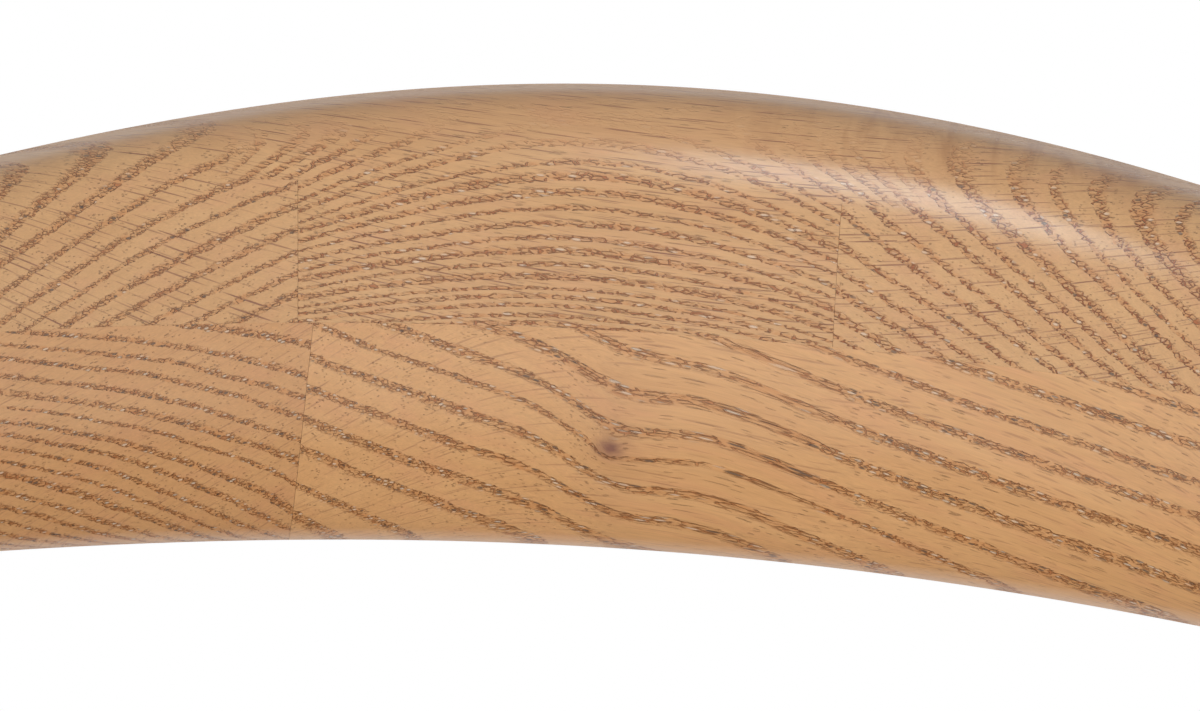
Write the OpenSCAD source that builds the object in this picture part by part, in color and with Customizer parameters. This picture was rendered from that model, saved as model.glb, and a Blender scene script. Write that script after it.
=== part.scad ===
/* [Heights] */
// Height of the seat's crown above the floor
seat_h = 655; // [630:1:680]
// Height of the back rail's crest above the floor
back_h = 880; // [865:1:920]

/* [Stance] */
// Distance of each foot's centre from the middle, sideways
foot_x = 225; // [215:1:235]
// Distance of each foot's centre from the middle, front to back
foot_y = 224; // [216:1:234]

/* [Back rail] */
// Radius of the rail's inner face, seen from above
rail_r = 250; // [240:1:258]
// Where the centre of the rail's arc lies, front to back
rail_centre_y = -46; // [-56:1:-36]
// Half of the arc that the rail and its arms cover, in degrees
rail_half_angle = 80; // [70:1:86]
// Height of the rail in the middle of the back
rail_h = 97; // [88:1:104]
// Thickness of the rail in the middle of the back
rail_t = 33; // [30:1:38]
// Width of each arm at its end
arm_t = 48; // [42:1:54]
// How far the top edge falls from the crest to the arms
arm_drop = 58; // [52:1:60]
// How far the bottom edge rises towards the arms
arm_rise = 8; // [0:1:10]
// Squareness of the rail's rounded section, where 2 is an ellipse
rail_square = 2.8; // [2.2:0.1:3.4]
// Length of the rounded tip of each arm
tip_len = 22; // [14:1:28]

/* [Back rail blocks] */
// Height of the lower row of glued blocks in the middle of the back
lower_row_h = 50; // [44:1:54]
// Thickness of the cap glued along the crest
crest_cap_h = 18.5; // [14:0.5:22]
// Angles of the four glue joints of the lower row
lower_joints = [-50, -15, 28, 62]; // [-66:0.5:66]
// Lean of the glue joints of the lower row, in degrees
lower_joint_lean = 5.5; // [0:0.5:8]
// Angles of the two glue joints of the upper row
upper_joints = [-15.7, 8.9]; // [-20:0.1:20]

/* [Legs] */
// Angle round the rail at which the rear legs stand under it
leg_angle = 38; // [36:1:41]
// Radius of a leg at the floor
leg_foot_r = 14; // [13:0.5:16]
// Radius of a leg at its thickest
leg_r = 19; // [17.5:0.5:20]
// Radius of a rear leg where it meets the rail
leg_top_r = 13.5; // [13:0.5:15]
// Height above the floor at which the legs are thickest
leg_belly_z = 560; // [520:5:600]
// How far the front legs stand above the seat frame
front_leg_rise = 22; // [10:1:30]
// Radius of the round tenon on top of each rear leg
back_tenon_r = 10; // [8:0.5:11]
// Length of the round tenon on top of each rear leg
back_tenon_len = 34; // [26:1:36]

/* [Seat frame] */
// Height of the seat rails
seat_rail_h = 60; // [58:1:72]
// Thickness of the seat rails
seat_rail_t = 22; // [18:1:25]
// Radius of the dowels that join the seat rails to the legs
dowel_r = 5; // [4:0.5:5.5]
// Length of the seat rail dowels
dowel_len = 40; // [34:1:46]
// Depth of the dowels past the nearer face of a leg
dowel_in_leg = 20; // [16:1:22]
// Distance from the top of a seat rail to its first dowel
dowel_top = 10; // [8:1:11]
// Step in height from each dowel to the next one round the leg
dowel_pitch = 13; // [12:0.5:13.5]
// Length of the corner blocks along each seat rail
corner_block_len = 90; // [84:1:100]
// Thickness of the corner blocks
corner_block_h = 26; // [20:1:34]
// Gap between the corner blocks and the top of the seat frame
corner_block_drop = 4; // [2:1:8]
// Distance of each corner block screw from the corner
block_screw_at = 54; // [50:1:58]
// Distance of each seat bolt from the inner faces of the seat rails
seat_bolt_at = 34; // [32:1:36]

/* [Seat] */
// Gap between the seat's rounded corners and the legs
seat_leg_gap = 11.5; // [9:0.5:16]
// Squareness of the seat's outline, where 2 is a circle
seat_square = 2.3; // [2.2:0.05:2.45]
// Height of the seat from the frame to the crown
seat_pad_h = 57; // [48:1:70]
// Height of the seat's widest line above the frame
seat_waist_h = 22; // [18:1:26]
// How far the seat's sides draw in under the widest line
seat_draw_in = 8; // [5:1:12]
// Thickness of the plywood seat board
board_t = 12; // [10:1:15]
// Thickness of the seat cover
cover_t = 1.5; // [1:0.25:2]
// Width of the cover's turned-in edge under the board
cover_turn = 24; // [18:1:28]
// Radius of the piping round the seat
piping_r = 2.5; // [2:0.5:3.5]

/* [Stretchers] */
// Height of the footrest's centre above the floor
footrest_z = 215; // [190:1:235]
// Depth of the footrest, front to back
footrest_d = 28; // [24:1:29]
// Height of the footrest's section
footrest_h = 30; // [26:1:38]
// Radius of the footrest's long edges
footrest_edge_r = 5; // [3:0.5:6]
// Height of the back stretcher above the floor
back_stretcher_z = 255; // [245:1:265]
// Height of the side stretchers above the floor
side_stretcher_z = 300; // [290:1:320]
// Radius of the turned stretchers in the middle
stretcher_r = 12; // [11:0.5:14]
// Radius of the turned stretchers at their ends
stretcher_end_r = 9; // [8.5:0.5:10]
// Radius of the stretchers' round tenons
tenon_r = 7; // [6:0.5:7.5]
// Depth of the stretchers' tenons past a leg's centre line
tenon_past = 4; // [2:1:6]

/* [Footrest guard] */
// Length of the guard plate
guard_len = 330; // [260:5:345]
// Width of the guard plate
guard_w = 16; // [13:1:17]
// Thickness of the guard plate
guard_t = 1.5; // [1:0.25:2]
// Number of screws in the guard plate
guard_screws = 4; // [3:1:5]

/* [Feet] */
// Radius of the nylon glides
glide_r = 12; // [10:0.5:12.5]
// Height of the nylon glides
glide_h = 4; // [3:0.5:6]
// Length of the nails that hold the glides
glide_nail_len = 20; // [16:1:26]

/* [Hidden] */
$fn = 64;

// Colours
oak = [0.80, 0.63, 0.43];
oak_dark = [0.72, 0.54, 0.36];
beech = [0.87, 0.74, 0.56];
leather = [0.16, 0.12, 0.10];
steel = [0.72, 0.72, 0.70];

// Clearances, each on the radius
dowel_fit = 0.1;
tenon_fit = 0.1;
screw_fit = 0.1;
// Clearance at the blind end of a hole
end_gap = 0.5;
// Clearance of soft pieces from what carries them
soft_gap = 0.3;

// Sizes of cutting solids, well past the model
far = 600;

// Back rail
rail_steps = 66;
tip_steps = 6;
// Share of a quarter turn at which the rounded tip ends in a small flat
tip_turn = 0.92;
section_points = 36;
rail_bottom_z = back_h - rail_h;
seam_z = rail_bottom_z + lower_row_h;
cap_z = back_h - crest_cap_h;
tip_angle = tip_len / (rail_r + arm_t / 2) * 180 / PI;
function signed_power(v, e) = sign(v) * pow(abs(v), e);
function share(a) = sin(90 * min(1, abs(a) / rail_half_angle));
function rail_top(a) = back_h - arm_drop * pow(share(a), 2);
function rail_bottom(a) = rail_bottom_z + arm_rise * pow(share(a), 4);
function rail_width(a) = rail_t + (arm_t - rail_t) * pow(share(a), 2);
// Place at radius r, angle a from the back and height z
function polar(r, a, z) = [r * sin(a), rail_centre_y + r * cos(a), z];
// Rings from -tip_steps to rail_steps + tip_steps; those outside 0 to rail_steps round the tips
function past_end(i) = i < 0 ? -i : max(0, i - rail_steps);
function tip_share(i) = 90 * tip_turn * past_end(i) / tip_steps;
function ring_side(i) = i < rail_steps / 2 ? -1 : 1;
function ring_angle(i) =
    past_end(i) > 0
        ? ring_side(i) * (rail_half_angle + tip_angle * sin(tip_share(i)))
        : rail_half_angle * (2 * i / rail_steps - 1);
function ring(i) =
    let (a = ring_angle(i),
         s = cos(tip_share(i)),
         half_t = rail_width(a) / 2,
         half_h = (rail_top(a) - rail_bottom(a)) / 2,
         mid_z = (rail_top(a) + rail_bottom(a)) / 2)
    [for (k = [0 : section_points - 1])
        let (w = 360 * k / section_points,
             across = signed_power(cos(w), 2 / rail_square),
             up = signed_power(sin(w), 2 / rail_square))
        polar(rail_r + half_t * (1 + s * across), a, mid_z + s * half_h * up)];
// Angle at which the falling top edge reaches height z
function edge_angle(z) = rail_half_angle * asin(sqrt(min(1, (back_h - z) / arm_drop))) / 90;
// Index of the ring at or before an angle
function ring_before(a) = floor((a / rail_half_angle + 1) * rail_steps / 2);

// Where the upper row and the crest cap run out, with a little to spare
upper_end = edge_angle(seam_z) + 1;
cap_end = edge_angle(cap_z) + 1;

// Legs: the centre line runs from the foot to the socket under the rail
socket_r = rail_r + rail_width(leg_angle) / 2;
socket_z = rail_bottom(leg_angle);
socket = polar(socket_r, leg_angle, socket_z);
splay_x = (foot_x - socket[0]) / socket_z;
splay_y = (foot_y - socket[1]) / socket_z;
function leg_x(z) = foot_x - splay_x * z;
function leg_y(z) = foot_y - splay_y * z;
// Length along the leg for each unit of height
leg_slope = sqrt(1 + splay_x * splay_x + splay_y * splay_y);
function leg_radius(z) =
    z < leg_belly_z
        ? leg_foot_r + (leg_r - leg_foot_r) * pow(sin(90 * z / leg_belly_z), 2)
        : leg_r - (leg_r - leg_top_r)
            * pow(sin(90 * (z - leg_belly_z) / (socket_z - leg_belly_z)), 2);
leg_rings = 24;
dome_steps = 6;
// Extra length of a rear leg that is cut back to the rail's underside
cope_len = 8;

// Seat frame
frame_top = seat_h - seat_pad_h;
frame_mid = frame_top - seat_rail_h / 2;
rail_x = leg_x(frame_mid);
rail_y = leg_y(frame_mid);
inner_x = rail_x - seat_rail_t / 2;
inner_y = rail_y - seat_rail_t / 2;
// Heights of the dowels in the front and back rails, and in the side rails
cross_dowel_z = [frame_top - dowel_top, frame_top - dowel_top - 2 * dowel_pitch];
side_dowel_z = [frame_top - dowel_top - dowel_pitch, frame_top - dowel_top - 3 * dowel_pitch];

// Corner blocks and their screws
// How much of the block's corner is cut away in front of the leg
corner_block_nose = 12;
block_top = frame_top - corner_block_drop;
block_bottom = block_top - corner_block_h;
block_screw_r = 2;
block_screw_head_r = 4;
block_screw_head_h = 3;
// Wood left under the head of a block screw, and the depth of its thread in the rail
block_screw_wood = 16;
block_screw_bite = 15;
block_screw_z = block_bottom + corner_block_h / 2;

// Seat board and what holds it
waist_z = frame_top + seat_waist_h;
// Half width of an outline whose rounded corner stands clear of a leg at p
function half_width(p) = (p - (leg_r + seat_leg_gap) * sqrt(0.5)) * pow(2, 1 / seat_square);
seat_side_x = half_width(leg_x(waist_z));
seat_side_y = half_width(leg_y(waist_z));
board_z = frame_top + cover_t;
board_top = board_z + board_t;
board_inset = seat_draw_in + cover_t + soft_gap;
seat_bolt_r = 3;
seat_bolt_head_r = 6;
seat_bolt_head_h = 3.5;
bolt_x = inner_x - seat_bolt_at;
bolt_y = inner_y - seat_bolt_at;
nut_r = 4;
nut_flange_r = 9.5;
nut_flange_t = 1.2;
// Gap between the end of a bolt and the top of the board
bolt_short = 2;
dust_cover_t = 0.8;
dust_cover_gap = 1.5;

// Seat pad
pad_round = 2.6;
outline_points = 40;
dome_rings = 8;
// Angle up the dome of its last ring, which ends in a very small flat
crown_turn = 88;
side_rings = 4;
// Point k of the seat's outline, scaled to half widths hx and hy
function outline(hx, hy, z, count) =
    [for (k = [0 : count - 1])
        let (w = 360 * k / count)
        [hx * signed_power(cos(w), 2 / seat_square),
         hy * signed_power(sin(w), 2 / seat_square), z]];
// Half-width inset and height of ring j, from the waist up to near the crown
function dome_level(j, t) =
    let (w = crown_turn * j / dome_rings)
    [pow(cos(w), 2 / pad_round), waist_z + (seat_h - t - waist_z) * pow(sin(w), 2 / pad_round)];
function dome_ring(j, t) =
    let (level = dome_level(j, t))
    outline((seat_side_x - t) * level[0], (seat_side_y - t) * level[0], level[1], outline_points);
// Ring j of the side, from the foot of the pad up to just under the waist
function side_ring(j, t, foot_z) =
    let (s = j / side_rings,
         z = foot_z + (waist_z - foot_z) * s,
         fall = (waist_z - z) / (waist_z - frame_top),
         inset = t + seat_draw_in * pow(fall, 2))
    outline(seat_side_x - inset, seat_side_y - inset, z, outline_points);
// All rings of the pad's skin at depth t, from the foot to the crown
function pad_rings(t, foot_z) = concat(
    [for (j = [0 : side_rings - 1]) side_ring(j, t, foot_z)],
    [for (j = [0 : dome_rings]) dome_ring(j, t)]);

// Stretchers
stretcher_steps = 12;
footrest_y = leg_y(footrest_z);
footrest_top = footrest_z + footrest_h / 2;
guard_screw_r = 1.75;
guard_screw_head_r = 3.5;
guard_screw_head_h = 1;
guard_screw_len = 16;
// Distance of the end screws from the ends of the guard
guard_screw_end = 12;

// Feet
nail_r = 1.5;
nail_head_r = 3.5;
nail_head_h = 1;
nail_recess = 0.8;

// One of four like pieces, set in the corner on side sx and side sy
module corner(sx, sy) {
    mirror([sx < 0 ? 1 : 0, 0, 0])
        mirror([0, sy < 0 ? 1 : 0, 0])
            children();
}
// Children along a leg's centre line, with z measured from the floor's end
module along_leg() {
    translate([foot_x, foot_y, 0])
        rotate([0, acos(1 / leg_slope), atan2(-splay_y, -splay_x)])
            children();
}
// Closed skin through a list of equal rings, with a flat face at each end
module skin(rings) {
    n = len(rings[0]);
    last = len(rings) - 1;
    points = [for (r = rings) for (p = r) p];
    walls = [for (i = [0 : last - 1]) for (k = [0 : n - 1])
        let (a = i * n + k, b = i * n + (k + 1) % n)
        each [[a, a + n, b + n], [a, b + n, b]]];
    start = [for (k = [0 : n - 1]) k];
    end = [for (k = [n - 1 : -1 : 0]) last * n + k];
    polyhedron(points, concat(walls, [start, end]), convexity = 6);
}
// Part of the rail's full form, from one ring to another
module rail_form(from, to) {
    skin([for (i = [from : to]) ring(i)]);
}
// Everything on side s of the glue joint at angle a, which leans by some degrees
module joint_side(s, a, lean) {
    translate([0, rail_centre_y, seam_z])
        rotate([0, 0, -a])
            rotate([0, lean, 0])
                translate([s < 0 ? -far : 0, -far, -far])
                    cube([far, 2 * far, 2 * far]);
}
// Layer of the rail between two heights
module layer(low, high) {
    translate([-far, -far, low])
        cube([2 * far, 2 * far, high - low]);
}
// Block of the rail between two glue joints and two heights
module rail_block(a, b, lean, low, high) {
    intersection() {
        rail_form(ring_before(a) - 2, ring_before(b) + 3);
        layer(low, high);
        joint_side(1, a, lean);
        joint_side(-1, b, lean);
    }
}
// End of the rail past the last glue joint of the lower row, on side s
module arm_block(s, a, lean) {
    intersection() {
        rail_form(s < 0 ? -tip_steps : ring_before(a) - 2,
            s < 0 ? ring_before(a) + 3 : rail_steps + tip_steps);
        layer(0, seam_z);
        joint_side(s, a, lean);
    }
}
// Round socket for a rear leg's tenon
module leg_socket(sx) {
    corner(sx, 1)
        along_leg()
            cylinder(r = back_tenon_r + tenon_fit, h = socket_z * leg_slope + back_tenon_len + end_gap);
}

// Back rail
module lower_block_left_arm() {
    color(oak) arm_block(-1, lower_joints[0], lower_joint_lean);
}
module lower_block_left() {
    color(oak_dark) difference() {
        rail_block(lower_joints[0], lower_joints[1], lower_joint_lean, 0, seam_z);
        leg_socket(-1);
    }
}
module lower_block_centre() {
    color(oak) rail_block(lower_joints[1], lower_joints[2], lower_joint_lean, 0, seam_z);
}
module lower_block_right() {
    color(oak_dark) difference() {
        rail_block(lower_joints[2], lower_joints[3], lower_joint_lean, 0, seam_z);
        leg_socket(1);
    }
}
module lower_block_right_arm() {
    color(oak) arm_block(1, lower_joints[3], lower_joint_lean);
}
module upper_block_left() {
    color(oak_dark) rail_block(-upper_end, upper_joints[0], 0, seam_z, cap_z);
}
module upper_block_centre() {
    color(oak) rail_block(upper_joints[0], upper_joints[1], 0, seam_z, cap_z);
}
module upper_block_right() {
    color(oak_dark) rail_block(upper_joints[1], upper_end, 0, seam_z, cap_z);
}
module crest_cap() {
    color(oak_dark) rail_block(-cap_end, cap_end, 0, cap_z, back_h + 1);
}

// Legs
// Turned leg without its holes, from below the floor up to height top
module leg_blank(top) {
    low = -20;
    heights = [for (i = [0 : leg_rings]) low + (top - low) * i / leg_rings];
    outer = [for (z = heights) [leg_radius(max(z, 0)), z * leg_slope]];
    along_leg()
        rotate_extrude()
            polygon(concat([[0, low * leg_slope]], outer, [[0, top * leg_slope]]));
}
// Domed top of a front leg, above height z
module leg_dome(z) {
    r = leg_radius(z);
    curve = [for (i = [0 : dome_steps])
        [r * cos(90 * i / dome_steps), z * leg_slope + 0.5 * r * sin(90 * i / dome_steps)]];
    along_leg()
        rotate_extrude()
            polygon(concat([[0, z * leg_slope - 1], [r, z * leg_slope - 1]], curve));
}
// Holes in a leg: four dowels, two stretcher tenons and the nail of its glide
module leg_holes(cross_z) {
    for (z = cross_dowel_z)
        translate([leg_x(z) - leg_r + dowel_in_leg + end_gap, rail_y, z])
            rotate([0, -90, 0])
                cylinder(r = dowel_r + dowel_fit, h = dowel_len);
    for (z = side_dowel_z)
        translate([rail_x, leg_y(z) - leg_r + dowel_in_leg + end_gap, z])
            rotate([90, 0, 0])
                cylinder(r = dowel_r + dowel_fit, h = dowel_len);
    translate([leg_x(cross_z) + tenon_past + end_gap, leg_y(cross_z), cross_z])
        rotate([0, -90, 0])
            cylinder(r = tenon_r + tenon_fit, h = 2 * leg_r);
    translate([leg_x(side_stretcher_z), leg_y(side_stretcher_z) + tenon_past + end_gap, side_stretcher_z])
        rotate([90, 0, 0])
            cylinder(r = tenon_r + tenon_fit, h = 2 * leg_r);
    translate([foot_x, foot_y, 0])
        cylinder(r = nail_r + screw_fit, h = glide_nail_len + end_gap);
}
module rear_leg(sx) {
    color(oak) corner(sx, 1) difference() {
        union() {
            difference() {
                leg_blank(socket_z + cope_len);
                rail_form(ring_before(leg_angle) - 4, ring_before(leg_angle) + 5);
            }
            along_leg()
                translate([0, 0, (socket_z - cope_len) * leg_slope])
                    cylinder(r = back_tenon_r, h = cope_len * leg_slope + back_tenon_len);
        }
        layer(-far, glide_h);
        leg_holes(back_stretcher_z);
    }
}
module front_leg(sx) {
    top = frame_top + front_leg_rise;
    color(oak) corner(sx, -1) difference() {
        union() {
            leg_blank(top);
            leg_dome(top);
        }
        layer(-far, glide_h);
        leg_holes(footrest_z);
    }
}
module rear_leg_left() {
    rear_leg(-1);
}
module rear_leg_right() {
    rear_leg(1);
}
module front_leg_left() {
    front_leg(-1);
}
module front_leg_right() {
    front_leg(1);
}

// Seat frame
// Dowels at one corner between the leg and the front or back rail
module cross_dowels(extra, gap) {
    for (z = cross_dowel_z)
        translate([leg_x(z) - leg_r + dowel_in_leg + gap, rail_y, z])
            rotate([0, -90, 0])
                cylinder(r = dowel_r + extra, h = dowel_len + 2 * gap);
}
// Dowels at one corner between the leg and the side rail
module side_dowels(extra, gap) {
    for (z = side_dowel_z)
        translate([rail_x, leg_y(z) - leg_r + dowel_in_leg + gap, z])
            rotate([90, 0, 0])
                cylinder(r = dowel_r + extra, h = dowel_len + 2 * gap);
}
// Front rail on side -1 or back rail on side 1, with its ends fitted round the legs
module cross_rail(sy) {
    color(oak) mirror([0, sy < 0 ? 1 : 0, 0]) difference() {
        translate([-rail_x, rail_y - seat_rail_t / 2, frame_top - seat_rail_h])
            cube([2 * rail_x, seat_rail_t, seat_rail_h]);
        for (sx = [-1, 1]) corner(sx, 1) {
            leg_blank(frame_top + cope_len);
            cross_dowels(dowel_fit, end_gap);
            block_screws(screw_fit, false);
        }
    }
}
module side_rail(sx) {
    color(oak) mirror([sx < 0 ? 1 : 0, 0, 0]) difference() {
        translate([rail_x - seat_rail_t / 2, -rail_y, frame_top - seat_rail_h])
            cube([seat_rail_t, 2 * rail_y, seat_rail_h]);
        for (sy = [-1, 1]) corner(1, sy) {
            leg_blank(frame_top + cope_len);
            side_dowels(dowel_fit, end_gap);
            block_screws(screw_fit, false);
        }
    }
}
module seat_rail_front() {
    cross_rail(-1);
}
module seat_rail_back() {
    cross_rail(1);
}
module seat_rail_left() {
    side_rail(-1);
}
module seat_rail_right() {
    side_rail(1);
}
module seat_rail_dowels() {
    color(beech) for (sx = [-1, 1], sy = [-1, 1]) corner(sx, sy) {
        cross_dowels(0, 0);
        side_dowels(0, 0);
    }
}
// One screw, its head's seat at the origin and its shank along +z
module screw(r, head_r, head_h, length, extra) {
    translate([0, 0, -head_h])
        cylinder(r = head_r + extra, h = head_h);
    cylinder(r = r + extra, h = length + extra);
}
// The two screws of one corner block, with open pockets behind the heads when pocket is set
module block_screws(extra, pocket) {
    reach = block_screw_wood + block_screw_bite;
    translate([inner_x - block_screw_wood, inner_y - block_screw_at, block_screw_z])
        rotate([0, 90, 0])
            block_screw(reach, extra, pocket);
    translate([inner_x - block_screw_at, inner_y - block_screw_wood, block_screw_z])
        rotate([-90, 0, 0])
            block_screw(reach, extra, pocket);
}
module block_screw(reach, extra, pocket) {
    screw(block_screw_r, block_screw_head_r, block_screw_head_h, reach, extra);
    if (pocket)
        translate([0, 0, -corner_block_len])
            cylinder(r = block_screw_head_r + extra, h = corner_block_len);
}
module corner_block(sx, sy) {
    len = corner_block_len;
    nose = corner_block_nose;
    color(beech) corner(sx, sy) difference() {
        translate([inner_x, inner_y, block_bottom])
            linear_extrude(corner_block_h)
                polygon([[-nose, 0], [-len, 0], [0, -len], [0, -nose]]);
        block_screws(screw_fit, true);
        translate([bolt_x, bolt_y, block_bottom - 1])
            cylinder(r = seat_bolt_r + screw_fit, h = corner_block_h + 2);
    }
}
module corner_block_front_left() {
    corner_block(-1, -1);
}
module corner_block_front_right() {
    corner_block(1, -1);
}
module corner_block_back_left() {
    corner_block(-1, 1);
}
module corner_block_back_right() {
    corner_block(1, 1);
}
module corner_block_screws() {
    color(steel) for (sx = [-1, 1], sy = [-1, 1]) corner(sx, sy)
        block_screws(0, false);
}

// Seat
module flat_outline(hx, hy, z, t) {
    points = outline(hx, hy, 0, 2 * outline_points);
    translate([0, 0, z])
        linear_extrude(t)
            polygon([for (p = points) [p[0], p[1]]]);
}
module at_bolts(z) {
    for (sx = [-1, 1], sy = [-1, 1])
        translate([sx * bolt_x, sy * bolt_y, z])
            children();
}
module seat_board() {
    color(beech) difference() {
        flat_outline(seat_side_x - board_inset, seat_side_y - board_inset, board_z, board_t);
        at_bolts(board_z - 1)
            cylinder(r = nut_r + screw_fit, h = board_t + 2);
        at_bolts(board_top - nut_flange_t)
            cylinder(r = nut_flange_r + screw_fit, h = nut_flange_t + 1);
    }
}
module seat_tee_nuts() {
    color(steel) difference() {
        at_bolts(board_z + 1) {
            cylinder(r = nut_r, h = board_t - 1);
            translate([0, 0, board_t - 1 - nut_flange_t])
                cylinder(r = nut_flange_r, h = nut_flange_t);
        }
        at_bolts(board_z)
            cylinder(r = seat_bolt_r + screw_fit, h = board_t + 1);
    }
}
module seat_screws() {
    color(steel) at_bolts(block_bottom)
        screw(seat_bolt_r, seat_bolt_head_r, seat_bolt_head_h, board_top - bolt_short - block_bottom, 0);
}
module seat_foam() {
    color([0.93, 0.89, 0.72]) skin(pad_rings(cover_t + soft_gap, board_top + soft_gap));
}
module seat_cover() {
    turn = seat_draw_in + cover_turn;
    color(leather) difference() {
        skin(pad_rings(0, frame_top));
        skin(pad_rings(cover_t, board_z));
        flat_outline(seat_side_x - turn, seat_side_y - turn, frame_top - 1, board_t);
        at_bolts(frame_top - 1)
            cylinder(r = seat_bolt_head_r, h = cover_t + 2);
    }
}
module seat_piping() {
    sides = 8;
    out = piping_r + soft_gap;
    middle = outline(seat_side_x + out, seat_side_y + out, waist_z, outline_points);
    n = len(middle);
    // Each ring stands across the outline, turned out from the seat's middle
    points = [for (k = [0 : n - 1]) for (j = [0 : sides - 1])
        let (p = middle[k],
             ahead = middle[(k + 1) % n] - middle[(k + n - 1) % n],
             away = [ahead[1], -ahead[0], 0] / norm(ahead),
             w = 360 * j / sides)
        p + piping_r * (cos(w) * away + [0, 0, sin(w)])];
    faces = [for (k = [0 : n - 1]) for (j = [0 : sides - 1])
        let (a = k * sides + j,
             b = k * sides + (j + 1) % sides,
             c = ((k + 1) % n) * sides + (j + 1) % sides,
             d = ((k + 1) % n) * sides + j)
        each [[a, b, c], [a, c, d]]];
    color(leather) polyhedron(points, faces, convexity = 4);
}
module dust_cover() {
    hx = inner_x - dust_cover_gap;
    hy = inner_y - dust_cover_gap;
    color([0.15, 0.15, 0.15]) difference() {
        flat_outline(hx, hy, board_z - dust_cover_t, dust_cover_t);
        at_bolts(board_z - 2)
            cylinder(r = seat_bolt_head_r, h = 4);
    }
}

// Stretchers
// Box with rounded long edges, along x
module rounded_bar(length, depth, height, r) {
    rotate([90, 0, 90])
        linear_extrude(length, center = true)
            union() {
                square([depth - 2 * r, height], center = true);
                square([depth, height - 2 * r], center = true);
                for (u = [-1, 1], v = [-1, 1])
                    translate([u * (depth / 2 - r), v * (height / 2 - r)])
                        circle(r);
            }
}
module at_guard_screws(z) {
    span = guard_len - 2 * guard_screw_end;
    for (i = [0 : guard_screws - 1])
        translate([-span / 2 + span * i / (guard_screws - 1), -footrest_y, z])
            children();
}
module guard_screw(extra) {
    translate([0, 0, -guard_screw_len])
        cylinder(r = guard_screw_r + extra, h = guard_screw_len);
    translate([0, 0, -guard_screw_head_h])
        cylinder(r1 = guard_screw_r + extra, r2 = guard_screw_head_r + extra, h = guard_screw_head_h);
}
module guard_plate(extra) {
    r = guard_w / 2;
    translate([0, -footrest_y, footrest_top - guard_t])
        linear_extrude(guard_t + extra)
            union() {
                square([guard_len - guard_w, guard_w + 2 * extra], center = true);
                for (s = [-1, 1])
                    translate([s * (guard_len / 2 - r), 0])
                        circle(r + extra);
            }
}
module footrest_bar() {
    reach = leg_x(footrest_z);
    color(oak) union() {
        difference() {
            translate([0, -footrest_y, footrest_z])
                rounded_bar(2 * reach, footrest_d, footrest_h, footrest_edge_r);
            for (sx = [-1, 1]) corner(sx, -1)
                leg_blank(footrest_z + 2 * footrest_h);
            guard_plate(screw_fit);
            at_guard_screws(footrest_top)
                guard_screw(screw_fit);
        }
        for (s = [-1, 1])
            translate([s * (reach + tenon_past), -footrest_y, footrest_z])
                rotate([0, -90 * s, 0])
                    cylinder(r = tenon_r, h = 2 * leg_r);
    }
}
module footrest_guard() {
    color(steel) difference() {
        guard_plate(0);
        at_guard_screws(footrest_top)
            guard_screw(screw_fit);
    }
}
module footrest_screws() {
    color(steel) at_guard_screws(footrest_top)
        guard_screw(0);
}
// Turned stretcher along x, thickest in the middle, with a round tenon at each end
module turned(reach) {
    body = [for (i = [0 : stretcher_steps])
        let (s = 2 * i / stretcher_steps - 1)
        [stretcher_end_r + (stretcher_r - stretcher_end_r) * (1 - s * s), s * reach]];
    rotate([0, 90, 0])
        rotate_extrude()
            polygon(concat([[0, -reach]], body, [[0, reach]]));
}
module turned_tenons(reach) {
    for (s = [-1, 1])
        translate([s * (reach + tenon_past), 0, 0])
            rotate([0, -90 * s, 0])
                cylinder(r = tenon_r, h = 2 * leg_r);
}
module side_stretcher(sx) {
    z = side_stretcher_z;
    color(oak) mirror([sx < 0 ? 1 : 0, 0, 0]) union() {
        difference() {
            translate([leg_x(z), 0, z])
                rotate([0, 0, 90])
                    turned(leg_y(z));
            for (sy = [-1, 1]) corner(1, sy)
                leg_blank(z + 2 * stretcher_r);
        }
        translate([leg_x(z), 0, z])
            rotate([0, 0, 90])
                turned_tenons(leg_y(z));
    }
}
module side_stretcher_left() {
    side_stretcher(-1);
}
module side_stretcher_right() {
    side_stretcher(1);
}
module back_stretcher() {
    z = back_stretcher_z;
    color(oak) union() {
        difference() {
            translate([0, leg_y(z), z])
                turned(leg_x(z));
            for (sx = [-1, 1]) corner(sx, 1)
                leg_blank(z + 2 * stretcher_r);
        }
        translate([0, leg_y(z), z])
            turned_tenons(leg_x(z));
    }
}

// Feet
module glide(sx, sy) {
    color([0.12, 0.12, 0.12]) corner(sx, sy) translate([foot_x, foot_y, 0]) difference() {
        cylinder(r = glide_r, h = glide_h);
        translate([0, 0, -1])
            cylinder(r = nail_r + screw_fit, h = glide_h + 2);
        translate([0, 0, -1])
            cylinder(r = nail_head_r + screw_fit, h = 1 + nail_recess + nail_head_h);
    }
}
module glide_front_left() {
    glide(-1, -1);
}
module glide_front_right() {
    glide(1, -1);
}
module glide_back_left() {
    glide(-1, 1);
}
module glide_back_right() {
    glide(1, 1);
}
module glide_nails() {
    color(steel) for (sx = [-1, 1], sy = [-1, 1])
        translate([sx * foot_x, sy * foot_y, nail_recess]) {
            cylinder(r = nail_head_r, h = nail_head_h);
            cylinder(r = nail_r, h = glide_nail_len - nail_recess);
        }
}

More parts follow.
